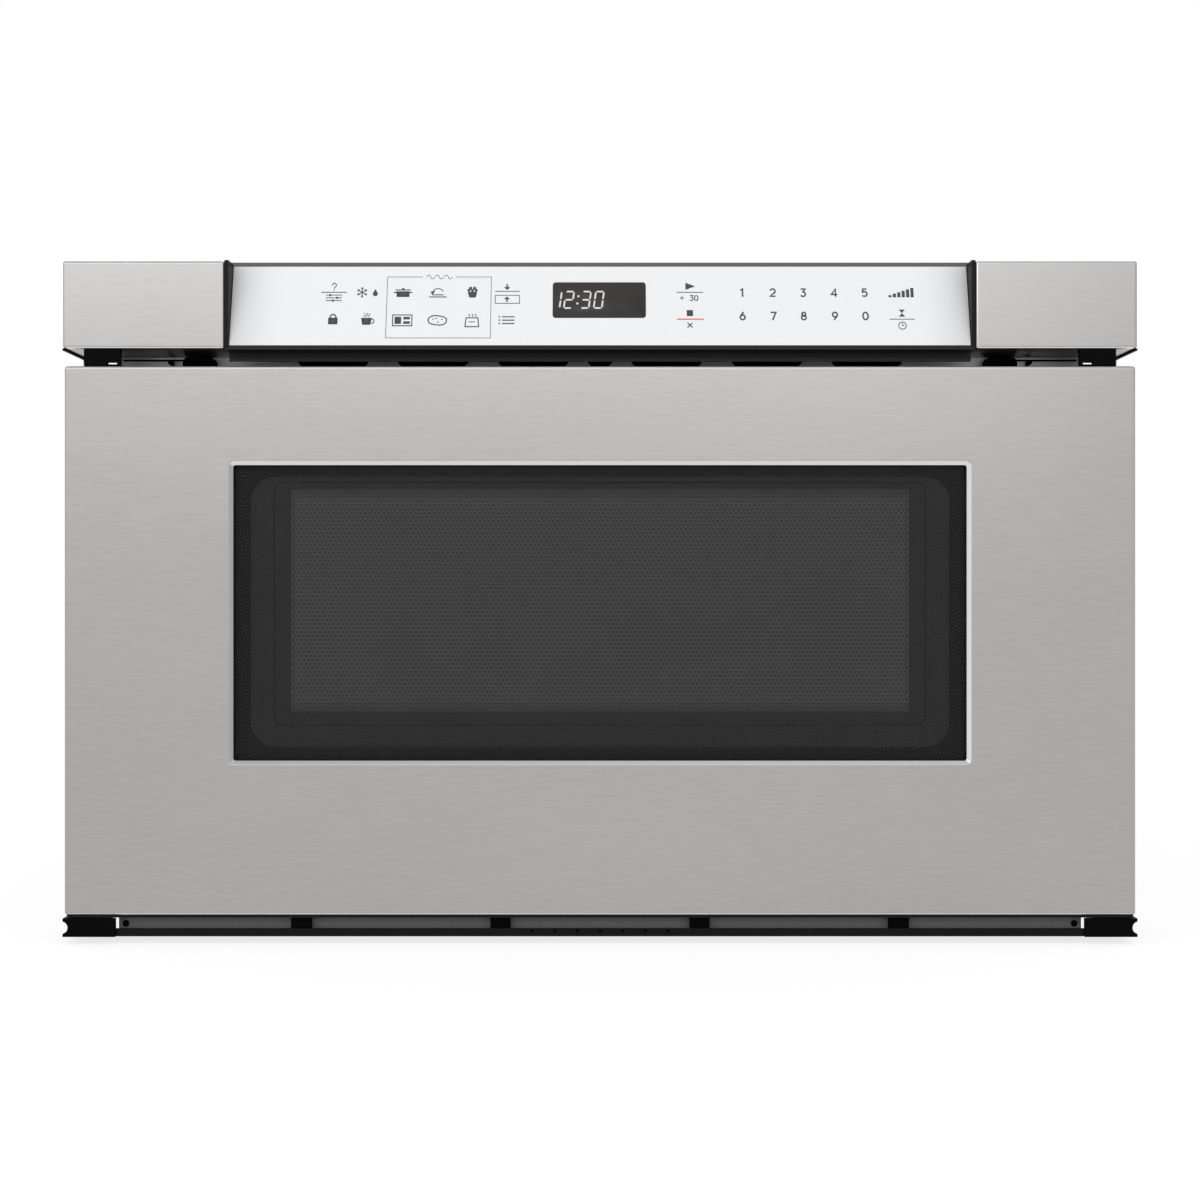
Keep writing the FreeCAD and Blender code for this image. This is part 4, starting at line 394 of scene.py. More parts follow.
# %% Green lacquer over copper tracks
def circuit_board():
    board = Finish("circuit_board", (0.028, 0.13, 0.055), 0.30, coat=0.4)
    rows = board.noise(1.6, 0.0, (7.0, 1.0, 1.0))
    columns = board.noise(1.6, 0.0, (1.0, 1.0, 7.0))
    tracks = ((rows > 0.56) + (columns > 0.60)).limited()
    pads = board.cells(2.5) < 0.2
    green = board.mix(tracks, board.colour, (0.06, 0.24, 0.09, 1.0))
    board.set("Base Color", board.mix(pads, green, (0.62, 0.60, 0.55, 1.0)))
    board.set("Metallic", pads * 0.8)
    board.relief(tracks + pads, 0.035, 0.6)


circuit_board()

# %% [markdown]
# ## Glass
# A pane can be real refracting glass, which is slow and grainy, or a thin dark film that lets
# most light through, which is how tinted appliance glass looks from outside. The film is clean at
# low samples, and what lies behind it stays solid geometry. The control panel is another thing:
# glass printed white on its back, so it is opaque and only its front is glossy.

# %% Tinted panes, the lamp and the white panel
def pane(name, colour, roughness, alpha):
    glass = Finish(name, colour, roughness, specular=0.2)
    haze = glass.noise(30.0, 3.0)
    glass.set("Alpha", alpha - 0.02 + haze * 0.04)
    glass.set("Roughness", roughness + haze * 0.02)


pane("tinted_glass", (0.004, 0.004, 0.0045), 0.03, 0.16)
pane("clear_glass", (0.05, 0.06, 0.06), 0.04, 0.30)
pane("smoked_film", (0.044, 0.044, 0.044), 0.42, 0.92)
END_SHADE_LENGTH = 30.0


def white_glass():
    panel = Finish("white_glass", (0.850, 0.857, 0.873), 0.10, specular=0.4)
    # Towards both ends of the panel the white darkens to grey: painted shade.
    from_end = (abs(panel.axis("X")) - (panel_high[0] - END_SHADE_LENGTH)) / END_SHADE_LENGTH
    end_shade = from_end.limited() ** 1.6
    mottle = panel.noise(2.0, 1.0)
    white = panel.shade(mottle, 0.985, 1.0)
    panel.set("Base Color", panel.mix(end_shade, white, (0.64, 0.645, 0.66, 1.0)))
    panel.set("Roughness", 0.08 + mottle * 0.05)


white_glass()
print(len(finishes), "finishes so far")

# %% [markdown]
# ## The lamp
# The bulb and its plastic cup are one CAD piece. They are told apart by their distance from the
# lamp's axis, which is a value that the shader can work out, so no face has to be picked by hand.

# %% Frosted bulb inside a dark cup
BULB_RADIUS = 10.3


def lamp_glass():
    low, high = span("oven_lamp")
    lamp = Finish("lamp_glass", (0.86, 0.85, 0.80), 0.35)
    across = (lamp.axis("Y") - (low[1] + high[1]) / 2) ** 2.0
    upright = (lamp.axis("Z") - (low[2] + high[2]) / 2) ** 2.0
    cup = (across + upright) ** 0.5 > BULB_RADIUS
    frost = lamp.noise(0.8, 2.0)
    bulb = lamp.shade(frost, 0.92, 1.05)
    lamp.set("Base Color", lamp.mix(cup, bulb, (0.16, 0.15, 0.14, 1.0)))
    lamp.relief(frost, 0.02, 0.4)


lamp_glass()

# %% [markdown]
# ## The punched sheet
# Behind the dark glass sits a black steel sheet whose middle is punched with fine holes. The
# punched field looks greyer than the plain frame around it, and its first and last rows are
# darkened towards the frame's tone as painted shade. So this finish changes with the place on the
# sheet, and needs the field's measures.

# %% Measures of the screen, and its tones
SCREEN_HALF_W = 175.4
SCREEN_LOW_Z = 130.9
SCREEN_HIGH_Z = 256.9
FIELD = ((-SCREEN_HALF_W, SCREEN_LOW_Z), (SCREEN_HALF_W, SCREEN_HIGH_Z))
SHADED_ROWS_BAND = 4.8


def screen_steel():
    sheet = Finish("screen_steel", (0.088, 0.088, 0.088), 0.5, specular=0.2)
    half_height = (SCREEN_HIGH_Z - SCREEN_LOW_Z) / 2
    from_middle = abs(sheet.axis("Z") - (SCREEN_LOW_Z + SCREEN_HIGH_Z) / 2)
    plain = (abs(sheet.axis("X")) > SCREEN_HALF_W) + (from_middle > half_height)
    # The top and bottom rows of the field are darkened: painted shade.
    shaded_rows = from_middle > half_height - SHADED_ROWS_BAND
    fine = sheet.noise(0.5, 2.0)
    punched = sheet.mix(shaded_rows * 0.40, sheet.shade(fine, 0.90, 1.10), grey(0.045))
    dark = sheet.mix(fine, grey(0.030), grey(0.036))
    sheet.set("Base Color", sheet.mix(plain.limited(), punched, dark))
    sheet.relief(fine, 0.01, 0.4)


screen_steel()
print("punched field", 2 * SCREEN_HALF_W, "by", SCREEN_HIGH_Z - SCREEN_LOW_Z, "mm")

# %% [markdown]
# ## Handing out the finishes
# The packed record names one material slot for each CAD piece. Swapping the plain material in
# that slot for the finish of the same name dresses the whole model in one loop, and leaves no
# piece out.

# %% One finish for every CAD piece
for part in frame["record"]["subparts"]:
    for slot in nodes[part["node"]].material_slots:
        slot.material = finishes[part["material_slot"]]
for node, finish in (("front_flange", "flange_steel"), ("control_frame", "frame_plastic"),
                     ("corner_blocks", "block_plastic"), ("lower_trim", "trim_steel"),
                     ("cover_screws", "screw_steel")):
    nodes[node].material_slots[0].material = finishes[finish]

# %% [markdown]
# ## Pieces built from loops
# Pressed sheet and mouldings are mostly rounded rectangles that step in and out. Such a piece is
# a skin through nested loops: each loop is one line around the piece, and two neighbours are
# joined by a strip of faces. Small steps at a bend then make the soft edge that catches light,
# which no bevel on a sharp CAD edge gives on both sides of a thin sheet.

# %% A rounded rectangle seen from the front, and a skin through such loops
def rounded_loop(low, high, depth, inset=0.0, radius=1.0, steps=6):
    """Points in millimetres around a rectangle from (x, z) low to high, at one depth."""
    x0, z0, x1, z1 = low[0] + inset, low[1] + inset, high[0] - inset, high[1] - inset
    corners = ((x1 - radius, z1 - radius), (x0 + radius, z1 - radius),
               (x0 + radius, z0 + radius), (x1 - radius, z0 + radius))
    turns = [math.pi / 2 * step / steps for step in range(steps + 1)]
    return [(x + radius * math.cos(quarter * math.pi / 2 + turn), depth,
             z + radius * math.sin(quarter * math.pi / 2 + turn))
            for quarter, (x, z) in enumerate(corners) for turn in turns]


def place(shape, point):
    return shape.verts.new([value * MM for value in point])


def skin_through(shape, loops, joined=False):
    """Join each loop to the next one; joined also joins the last loop to the first."""
    rings = [[place(shape, point) for point in loop] for loop in loops]
    pairs = list(zip(rings, rings[1:])) + ([(rings[-1], rings[0])] if joined else [])
    for near, far in pairs:
        for index in range(len(near)):
            after = (index + 1) % len(near)
            shape.faces.new((near[index], near[after], far[after], far[index]))
    return rings


def solid_through(shape, loops):
    """Join the loops and close both ends."""
    rings = skin_through(shape, loops)
    for ring in (rings[0], rings[-1]):
        shape.faces.new(ring)


print("a loop of", len(rounded_loop((0, 0), (10, 10), 0)), "points")

# %% Turning a built shape into a piece of the drawer
SOFT_ANGLE = math.radians(35)


def add_object(name, data):
    made = bpy.data.objects.new(name, data)
    bpy.context.scene.collection.objects.link(made)
    return made


def add_shape(name, shape, material):
    mesh = bpy.data.meshes.new(name)
    shape.to_mesh(mesh)
    shape.free()
    mesh.materials.append(material)
    return add_object(name, mesh)


def piece(name, shape, finish, body, replaces=()):
    """Name, smooth and dress a shape, and let it ride on a body of the model."""
    bmesh.ops.remove_doubles(shape, verts=shape.verts, dist=1e-6)
    bmesh.ops.recalc_face_normals(shape, faces=shape.faces)
    made = add_shape(name, shape, finishes[finish])
    for face in made.data.polygons:
        face.use_smooth = True
    made.data.set_sharp_from_angle(angle=SOFT_ANGLE)
    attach(made, body)
    if replaces:
        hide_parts(*replaces)
    print(name, "has", len(made.data.polygons), "faces")
    return made


# %% [markdown]
# ## The door skin
# The door's front is one sheet of brushed steel. Its four sides are bent back over the black
# chassis, and the window opening is pressed in, which leaves a narrow slope around the glass.
# That slope is the bright line in the photograph. On its top and right sides, and on the door's
# lower bend, part of that brightness is a painted highlight, a lighter steel given below. The sheet
# could be a solid cut by a boolean, but then its bends are sharp. Loops follow the real bends: back
# edge, side, bend, front, slope.

# %% Sheet with soft bends around the door and the window
LAP_SIDE = 3.5
LAP_TALL = 3.0
SLOPE = 1.9
SLOPE_DEEP = 2.6
BEND = 1.3
SHEET = 1.0
BEND_STEPS = 4
FLAT = 0.5
DOOR_CORNER = 1.5
# Lines around the window: how far outside the opening, how far behind the front, corner radius.
WINDOW_LINES = (
    (SLOPE + 0.2 + FLAT, 0.0, 2.8), (SLOPE + 0.2, 0.0, 2.8), (SLOPE - 0.1, 0.12, 2.5),
    (0.3, SLOPE_DEEP - 0.2, 1.6), (0.0, SLOPE_DEEP - 0.05, 1.5), (0.9, SLOPE_DEEP - 0.05, 2.0),
    (SLOPE + 0.8, SHEET + 0.1, 2.8))


def quarter_bend(start, end, loop_at):
    """Loops around a quarter bend; start and end are (inset, depth) before and after it."""
    loops = []
    for step in range(BEND_STEPS + 1):
        turn = math.pi / 2 * step / BEND_STEPS
        inset = start[0] + (end[0] - start[0]) * (1 - math.cos(turn))
        depth = start[1] + (end[1] - start[1]) * math.sin(turn)
        loops.append(loop_at(inset, depth))
    return loops


def door_skin():
    outer = ((door_low[0], door_low[2]), (door_high[0], door_high[2]))
    opening = ((glass_low[0] + LAP_SIDE, glass_low[2] + LAP_TALL),
               (glass_high[0] - LAP_SIDE, glass_high[2] - LAP_TALL))
    front, back = door_low[1], door_high[1]

    def around(inset, depth):
        return rounded_loop(*outer, depth, inset, max(DOOR_CORNER - inset, 0.4))

    loops = [around(0.0, back)] + quarter_bend((0.0, front + BEND), (BEND, front), around)
    loops.append(around(BEND + FLAT, front))
    loops += [rounded_loop(*opening, front + depth, -outset, radius)
              for outset, depth, radius in WINDOW_LINES]
    loops += [around(SHEET + 0.4, front + SHEET), around(SHEET, front + SHEET + 0.4),
              around(SHEET, back)]
    shape = bmesh.new()
    skin_through(shape, loops, joined=True)
    return piece("door_skin", shape, "brushed_stainless", "drawer", ["door_panel"])


def paint_edge_highlights(made):
    """Give the bends that face down or to the left a lighter steel colour: a painted highlight."""
    made.data.materials.append(finishes["painted_edge_highlight"])
    end = (door_high[0] - 2 * BEND) * MM
    bright = [face for face in made.data.polygons if -0.97 < face.normal.y < -0.15
              and abs(face.center.x) < end and min(face.normal.x, face.normal.z) < -0.35]
    for face in bright:
        face.material_index = 1
    print(made.name, "has", len(bright), "polished faces")


paint_edge_highlights(door_skin())

# %% [markdown]
# ## The end panels
# Two plain brushed panels close the control strip at both ends. Each is a shallow tray of sheet
# with its sides bent back. They are made in the same way as the door, so the bends match, and
# their lower edges get the same painted highlight, a thin line of lighter steel.

# %% Two trays of brushed sheet
CHEEK_GAP = 0.3
PANEL_CORNER = 1.4


def end_panels():
    low, high = span("end_panels")
    inner_edge = span("control_frame")[1][0] + CHEEK_GAP
    shape = bmesh.new()
    for x0, x1 in ((low[0], -inner_edge), (inner_edge, high[0])):
        def around(inset, depth):
            radius = max(PANEL_CORNER - inset, 0.3)
            return rounded_loop((x0, low[2]), (x1, high[2]), depth, inset, radius)
        front, back = low[1], high[1]
        loops = [around(0.0, back)] + quarter_bend((0.0, front + BEND), (BEND, front), around)
        solid_through(shape, loops + [around(BEND + FLAT, front)])
    return piece("end_trays", shape, "brushed_stainless", "casing", ["end_panels"])


paint_edge_highlights(end_panels())

# %% [markdown]
# The control strip leans back between the end panels, so a wedge of each panel's inner side would
# show as a bright sliver, where the photograph is black. A black cheek covers it: a plate of a
# quarter of a millimetre in the gap between frame and panel, and in front of the frame's leaning
# rim a wedge up to the front. Both are outlines seen from the side, given a thickness.

# %% Black cheeks between the end panels and the control frame
GLASS_LEAN = math.tan(math.radians(15.0))


def side_plate(shape, outline, x0, x1):
    """Give an outline of (y, z) points a thickness from x0 to x1."""
    near, far = ([place(shape, (x, y, z)) for y, z in outline] for x in (x0, x1))
    shape.faces.new(near)
    shape.faces.new(far)
    for k in range(len(outline)):
        shape.faces.new((near[k - 1], near[k], far[k], far[k - 1]))


def cheeks():
    low, high = span("end_panels")
    frame_low, frame_high = span("control_frame")
    edge, rim = frame_high[0], frame_high[0] - panel_high[0]
    front, back, top = low[1] + 0.1, high[1] - 0.4, high[2] + 0.5
    lean = frame_low[1] + (top - panel_low[2]) * GLASS_LEAN
    gap = [(front, low[2] + 0.3), (back, low[2] + 0.3),
           (back, high[2] - 0.3), (front, high[2] - 0.3)]
    wedge = [(front, low[2] + 0.6), (front, top), (lean, top)]
    shape = bmesh.new()
    for side in (-1, 1):
        side_plate(shape, gap, side * (edge + 0.03), side * (edge + 0.27))
        side_plate(shape, wedge, side * (edge - rim + 0.3), side * (edge + 0.02))
    piece("control_cheeks", shape, "black_plastic", "casing")


cheeks()

# %% [markdown]
# ## The door screen
# The holes of the screen are too small for the oven's waves to pass. A picture of dots would do
# from afar, but the holes shift against what is behind them when the view moves. So they are
# real: a honeycomb of cells, each one a ring of six faces around an open hole.

# %% Measures of the screen's frame, and its black printed border
FRAME = ((-198.2, 110.6), (198.2, 264.1))
FRAME_CORNER = 14.0
# The frame's step: half width, low and high edge, how far behind the sheet, corner radius.
FRAME_STEP = ((185.4, 122.6, 261.4, 0.1, 6.0), (185.0, 123.0, 261.0, 0.5, 5.6),
              (184.6, 123.4, 260.6, 0.2, 5.2))
HOLE_PITCH = 2.6
HOLE_SHARE = 0.42
# How far behind the glass: the ink, the sheet and the film; and the film's lap around the holes.
INK_GAP = 0.15
SHEET_GAP = 0.45
FILM_GAP = 0.85
FILM_LAP = 2.4
GLASS = ((glass_low[0], glass_low[2]), (glass_high[0], glass_high[2]))


def window_border():
    """Ring of black ink on the back of the glass, from its edge to the screen's frame."""
    front = glass_high[1] + INK_GAP
    shape = bmesh.new()
    edge = rounded_loop(*GLASS, front)
    inside = rounded_loop(*FRAME, front, 0.0, FRAME_CORNER)
    skin_through(shape, [edge, inside, [(x, y + 0.1, z) for x, y, z in inside],
                         [(x, y + 0.1, z) for x, y, z in edge]], joined=True)
    piece("window_border", shape, "window_ink", "drawer")


# %% [markdown]
# The honeycomb's cells share their corners, so each corner is made once and found again by its
# rounded place. Around the honeycomb the sheet is plain and stepped: it slopes back to a flat
# frame and turns under the printed border.

# %% A honeycomb of open holes in a stepped frame
def honeycomb(shape, low, high, depth):
    """Six-sided cells from corner low to corner high, each with an open hole."""
    (x0, z0), (x1, z1) = low, high
    radius = HOLE_PITCH / math.sqrt(3.0)
    columns = int((x1 - x0) / HOLE_PITCH)
    rows = int((z1 - z0) / (radius * 1.5))
    start_x = (x0 + x1) / 2 - (columns - 0.5) * HOLE_PITCH / 2
    start_z = (z0 + z1) / 2 - (rows - 1) * radius * 0.75
    corners = [(math.sin(math.pi / 3 * k), math.cos(math.pi / 3 * k)) for k in range(6)]
    known = {}

    def corner(x, z):
        key = (round(x, 2), round(z, 2))
        if key not in known:
            known[key] = place(shape, (x, depth, z))
        return known[key]

    for row in range(rows):
        for column in range(columns):
            x = start_x + column * HOLE_PITCH + (row % 2) * HOLE_PITCH / 2
            z = start_z + row * radius * 1.5
            cell = [corner(x + radius * a, z + radius * b) for a, b in corners]
            hole = [place(shape, (x + radius * HOLE_SHARE * a, depth, z + radius * HOLE_SHARE * b))
                    for a, b in corners]
            for k in range(6):
                shape.faces.new((cell[k], cell[k - 1], hole[k - 1], hole[k]))
    return columns * rows


def door_screen():
    sheet = glass_high[1] + SHEET_GAP
    shape = bmesh.new()
    loops = [rounded_loop(*GLASS, sheet), rounded_loop(*FRAME, sheet, 0.0, FRAME_CORNER)]
    loops += [rounded_loop((-half, low), (half, high), sheet + depth, 0.0, radius)
              for half, low, high, depth, radius in FRAME_STEP]
    loops += [rounded_loop(*FIELD, sheet + 0.3, -0.6), rounded_loop(*FIELD, sheet + 0.5, 1.9)]
    skin_through(shape, loops)
    holes = honeycomb(shape, *FIELD, sheet + 0.35)
    print("the screen has", holes, "holes")
    piece("punched_screen", shape, "screen_steel", "drawer", ["door_screen"])


def screen_film():
    """Thin smoked film on the back of the holes, so that steam stays out of the door."""
    front = glass_high[1] + FILM_GAP
    shape = bmesh.new()
    solid_through(shape, [rounded_loop(*FIELD, front + depth, -FILM_LAP, 3.0)
                          for depth in (0.0, 0.2)])
    piece("screen_film", shape, "smoked_film", "drawer")


skin("window_ink", (0.021, 0.021, 0.021), 0.35, 6.0, 0.5, 0.004, 0.0, 0.1)
screen_film()
window_border()
door_screen()

# %% [markdown]
# ## Printing on the leaning glass
# The keys are not buttons: the glass feels a finger through its print. Ink is less than a tenth of
# a millimetre thick, so each mark is a flat shape with a real, small thickness that lies on the
# glass. The marks are drawn from the front in millimetres, and one function finds the depth of the
# leaning glass at each height.

# %% A pen that draws on the glass
INK = 0.06


def turn_of(x, z, radius, start, end, steps=12):
    """Points on an arc, in millimetres and degrees."""
    angles = [math.radians(start + (end - start) * k / steps) for k in range(steps + 1)]
    return [(x + radius * math.cos(a), z + radius * math.sin(a)) for a in angles]


class Ink:
    """Strokes, discs and filled shapes on the control glass, seen from the front."""

    def __init__(self, lift=INK):
        self.shape = bmesh.new()
        self.lift = lift
        self.centre, self.size = (0.0, 0.0), 1.0

    def draw(self, marks, x, z, size=1.0):
        """Draw marks, written around their own middle, around a point of the glass."""
        self.centre, self.size = (x, z), size
        for mark, *values in marks:
            getattr(self, mark)(*values)
        self.centre, self.size = (0.0, 0.0), 1.0

    def point(self, x, z):
        x, z = (middle + value * self.size for middle, value in zip(self.centre, (x, z)))
        depth = panel_low[1] + (z - panel_low[2]) * GLASS_LEAN
        return place(self.shape, (x, depth - self.lift, z))

    def fill(self, points):
        self.shape.faces.new([self.point(x, z) for x, z in points])

    def stroke(self, points, width=0.42, closed=False):
        count = len(points)
        sides = []
        for index, (x, z) in enumerate(points):
            before = points[index - 1] if closed or index else (x, z)
            after = points[(index + 1) % count] if closed or index < count - 1 else (x, z)
            legs = [(b[0] - a[0], b[1] - a[1]) for a, b in ((before, (x, z)), ((x, z), after))]
            legs = [(dx / math.hypot(dx, dz), dz / math.hypot(dx, dz))
                    for dx, dz in legs if math.hypot(dx, dz) > 1e-6]
            nx, nz = (sum(-dz for _, dz in legs), sum(dx for dx, _ in legs))
            size = math.hypot(nx, nz) or 1.0
            reach = width / 2 * min(2.0, 2.0 / size if len(legs) > 1 else 1.0)
            nx, nz = nx / size * reach, nz / size * reach
            sides.append((self.point(x + nx, z + nz), self.point(x - nx, z - nz)))
        for index in range(count if closed else count - 1):
            first, second = sides[index], sides[(index + 1) % count]
            self.shape.faces.new((first[0], first[1], second[1], second[0]))

    def line(self, x0, z0, x1, z1, width=0.44):
        self.stroke([(x0, z0), (x1, z1)], width)

    def arc(self, x, z, radius, start, end, width=0.42):
        steps = max(6, int(abs(end - start) / 15))
        self.stroke(turn_of(x, z, radius, start, end, steps), width)

    def disc(self, x, z, radius):
        turns = [math.pi / 6 * k for k in range(12)]
        self.fill([(x + radius * math.cos(t), z + radius * math.sin(t)) for t in turns])

    def bar(self, x0, z0, x1, z1):
        self.fill([(x0, z0), (x1, z0), (x1, z1), (x0, z1)])

    def dry(self, name, finish):
        """Turn the drawing into a piece with the thickness of ink."""
        layer = piece(name, self.shape, finish, "casing").modifiers.new("layer", "SOLIDIFY")
        layer.thickness = self.lift * MM
        layer.offset = -1.0


print("the glass leans back", round(GLASS_LEAN * (panel_high[2] - panel_low[2]), 1), "mm")

# %% [markdown]
# ## Inks and the display
# Three inks are used: charcoal for the keys, red for the line under stop, and the dark window of
# the display. The digits behind that window are lit, so they glow a little instead of only
# reflecting.

# %% Finishes of the inks and the lit digits
skin("key_ink", (0.045, 0.045, 0.047), 0.32, 3.0, 0.3, 0.003)
skin("red_ink", (0.72, 0.075, 0.060), 0.32, 3.0, 0.3, 0.003)
skin("display_window", (0.035, 0.033, 0.030), 0.30, 9.0, 0.8, 0.002, 0.0, 0.25)


def lit_digits():
    lit = Finish("lit_digits", (0.60, 0.60, 0.57), 0.4)
    flicker = lit.noise(0.9, 1.0)
    lit.shade(flicker, 0.9, 1.05)
    lit.set("Emission Color", lit.mix(flicker, (0.50, 0.50, 0.47, 1.0), (0.62, 0.62, 0.58, 1.0)))
    lit.set("Emission Strength", 0.40)


lit_digits()
print("inks ready")

# %% [markdown]
# ## The keys
# Each key gets a plain picture of its task: a padlock, a snowflake, a cup, a pot, a tray, bars
# for power, a clock. A picture is a list of the pen's marks around its own middle, in
# millimetres: line, stroke, arc, disc, bar (from corner to corner) and fill. Marks that repeat
# inside a picture are written as loops.

# %% Pictures for the keys on the left
QUERY = [("arc", 0, 0.8, 0.95, 190, -45), ("stroke", [(0.67, 0.13), (0.05, -0.45), (0.02, -0.95)]),
         ("disc", 0, -1.65, 0.3)]
SLIDERS = [mark for row, knob in ((1.2, -1.6), (0.0, 1.4), (-1.2, -0.4))
           for mark in (("line", -3.4, row, 3.4, row, 0.3), ("disc", knob, row, 0.5))]
PADLOCK = [("bar", -2.2, -2.6, 2.2, 0.6), ("arc", 0, 0.9, 1.35, 0, 180, 0.6),
           ("line", -1.35, 0.4, -1.35, 1.0, 0.6), ("line", 1.35, 0.4, 1.35, 1.0, 0.6)]
CUP = [("fill", [(-2.1, 1.0), (-1.6, -1.8), (1.6, -1.8), (2.1, 1.0)]),
       ("arc", 2.0, -0.3, 0.95, -95, 95, 0.38)]
CUP += [mark for x in (-0.9, 0.0, 0.9)
        for mark in (("arc", x + 0.35, 1.75, 0.42, 110, 250, 0.26),
                     ("arc", x - 0.05, 2.5, 0.42, -70, 70, 0.26))]
DROP = [("fill", [(0, 1.875)] + turn_of(0, 0, 0.93, 30, -210))]


def snowflake(size=2.1, fork=0.55, twig=0.35):
    """Six arms, each with two twigs that leave it at the fork."""
    marks = []
    for turn in range(6):
        angle = math.pi / 3 * turn + math.pi / 6
        x, z = size * math.cos(angle), size * math.sin(angle)
        marks.append(("line", 0, 0, x, z, 0.32))
        for side in (angle - 0.6, angle + 0.6):
            tip = (fork * x + twig * size * math.cos(side), fork * z + twig * size * math.sin(side))
            marks.append(("line", fork * x, fork * z, *tip, 0.26))
    return marks


def draw_all(ink, rows):
    """Each row is a picture, the place of its middle and its size."""
    for row in rows:
        ink.draw(*row)
    print(len(rows), "pictures drawn")


keys = Ink()
draw_all(keys, ((QUERY, -151.4, 372.6, 1.2), (SLIDERS, -151.4, 366.0, 1.35),
                (PADLOCK, -151.4, 353.4, 1.2), (snowflake(), -135.4, 369.3, 1.5),
                (DROP, -127.9, 368.4, 1.5), (CUP, -132.4, 352.6, 1.45)))

# %% Pictures inside the outlined box
POT = [("bar", -2.6, -1.9, 2.6, 0.5), ("line", -3.1, 1.1, 3.1, 1.1, 0.42),
       ("bar", -0.5, 1.3, 0.5, 1.9),
       ("line", -2.6, 0, -3.7, 0, 0.5), ("line", 2.6, 0, 3.7, 0, 0.5)]
PLATE_AGAIN = [("arc", 0, -0.6, 2.3, 25, 155, 0.36),
               ("fill", [(-3.1, 0.4), (-1.1, 0.5), (-2.3, -1.0)]),
               ("line", -3.6, -1.9, 3.6, -1.9, 0.42), ("line", -2.3, -1.0, 2.3, -1.0, 0.36)]
POPCORN = [("fill", [(-1.9, 0.2), (-1.3, -2.2), (1.3, -2.2), (1.9, 0.2)])]
POPCORN += [("disc", x, z, 0.62)
            for x, z in ((-1.5, 0.9), (0.0, 0.8), (1.5, 0.9), (-0.8, 1.8), (0.8, 1.8))]
MEAL_TRAY = [("stroke", [(-3.4, 2.0), (-3.4, -2.0), (3.4, -2.0), (3.4, 2.0)], 0.36, True),
             ("bar", -2.7, -1.3, -0.4, 1.3), ("bar", 0.4, 0.35, 2.7, 1.3),
             ("bar", 0.4, -1.3, 2.7, -0.35)]
POTATO = [("stroke", [(3.3 * math.cos(t), (1.9 + 0.25 * math.cos(2 * t + 0.7)) * math.sin(t))
                      for t in [math.pi / 10 * k for k in range(20)]], 0.4, True)]
POTATO += [("disc", x, z, 0.26) for x, z in ((-1.5, 0.5), (0.3, -0.6), (1.6, 0.4), (-0.4, 0.7))]
STEAM_BAG = [("stroke", [(-2.2, 1.2), (-2.6, -2.3), (2.6, -2.3), (2.2, 1.2)], 0.4, True),
             ("line", -1.2, -0.4, 1.2, -0.4, 0.3)]
STEAM_BAG += [("stroke", [(x, 1.7), (x + 0.35, 2.2), (x, 2.7)], 0.28) for x in (-1.2, 0.0, 1.2)]


def sensor_box(x0, z0, x1, z1, gap=9.6, wave=1.1):
    """Thin outline with a gap on top for the waves of a steam sensor."""
    middle = (x0 + x1) / 2
    outline = [(middle - gap, z1), (x0, z1), (x0, z0), (x1, z0), (x1, z1), (middle + gap, z1)]
    marks = [("stroke", outline, 0.3)]
    for x in (middle - 5.0, middle, middle + 5.0):
        marks += [("arc", x - wave, z1, wave, 0, 180, 0.32),
                  ("arc", x + wave, z1, wave, 180, 360, 0.32)]
    return marks


draw_all(keys, ((sensor_box(-121.2, 342.2, -62.0, 378.5), 0.0, 0.0, 1.0),
                (POT, -112.1, 369.2, 1.4), (PLATE_AGAIN, -92.2, 369.2, 1.4),
                (POPCORN, -72.6, 369.3, 1.4), (MEAL_TRAY, -112.1, 352.6, 1.6),
                (POTATO, -92.2, 352.6, 1.6), (STEAM_BAG, -72.6, 352.3, 1.5)))

# %% Pictures for the drawer, the menus and the keys on the right
ARROW_DOWN = [("line", 0, 1.6, 0, -0.4, 0.8), ("fill", [(-1.8, -0.2), (0, -1.9), (1.8, -0.2)])]
ARROW_UP = [("line", 0, -1.5, 0, 0.4, 0.8), ("fill", [(-1.8, 0.2), (1.8, 0.2), (0, 1.8)])]
MENU = [mark for z in (-2.0, 0.0, 2.0)
        for mark in (("line", -2.6, z, 4.4, z, 0.62), ("disc", -4.1, z, 0.46))]
START = [("fill", [(-2.3, -2.1), (3.1, 0), (-2.3, 2.1)])]
STOP = [("bar", -1.75, -1.75, 1.75, 1.75)]
CROSS = [("line", -1.4, -1.4, 1.4, 1.4, 0.62), ("line", -1.4, 1.4, -0.2, 0.2, 0.62),
         ("line", 0.2, -0.2, 1.4, -1.4, 0.62)]
PLUS = [("line", -1.2, 0, 1.2, 0), ("line", 0, 0.25, 0, 1.2), ("line", 0, -0.25, 0, -1.2)]
CLOCK = [("arc", 0, 0, 2.1, 0, 360, 0.46), ("stroke", [(0, 1.302), (0, 0), (1.05, 0)], 0.40)]
HOURGLASS = [("line", -1.5, 1.7, 1.5, 1.7, 0.4), ("line", -1.5, -1.7, 1.5, -1.7, 0.4),
             ("fill", [(-1.2, 1.5), (0, 0), (1.2, 1.5)]),
             ("fill", [(-1.2, -1.5), (1.2, -1.5), (0, 0)])]
POWER = [("bar", 1.8 * step - 5.1, -1.9, 1.8 * step - 3.85, 0.62 * step - 1.0) for step in range(6)]
DRAWER = [(-59.6, 362.7), (-45.8, 362.7), (-45.8, 367.5), (-59.6, 367.5)]
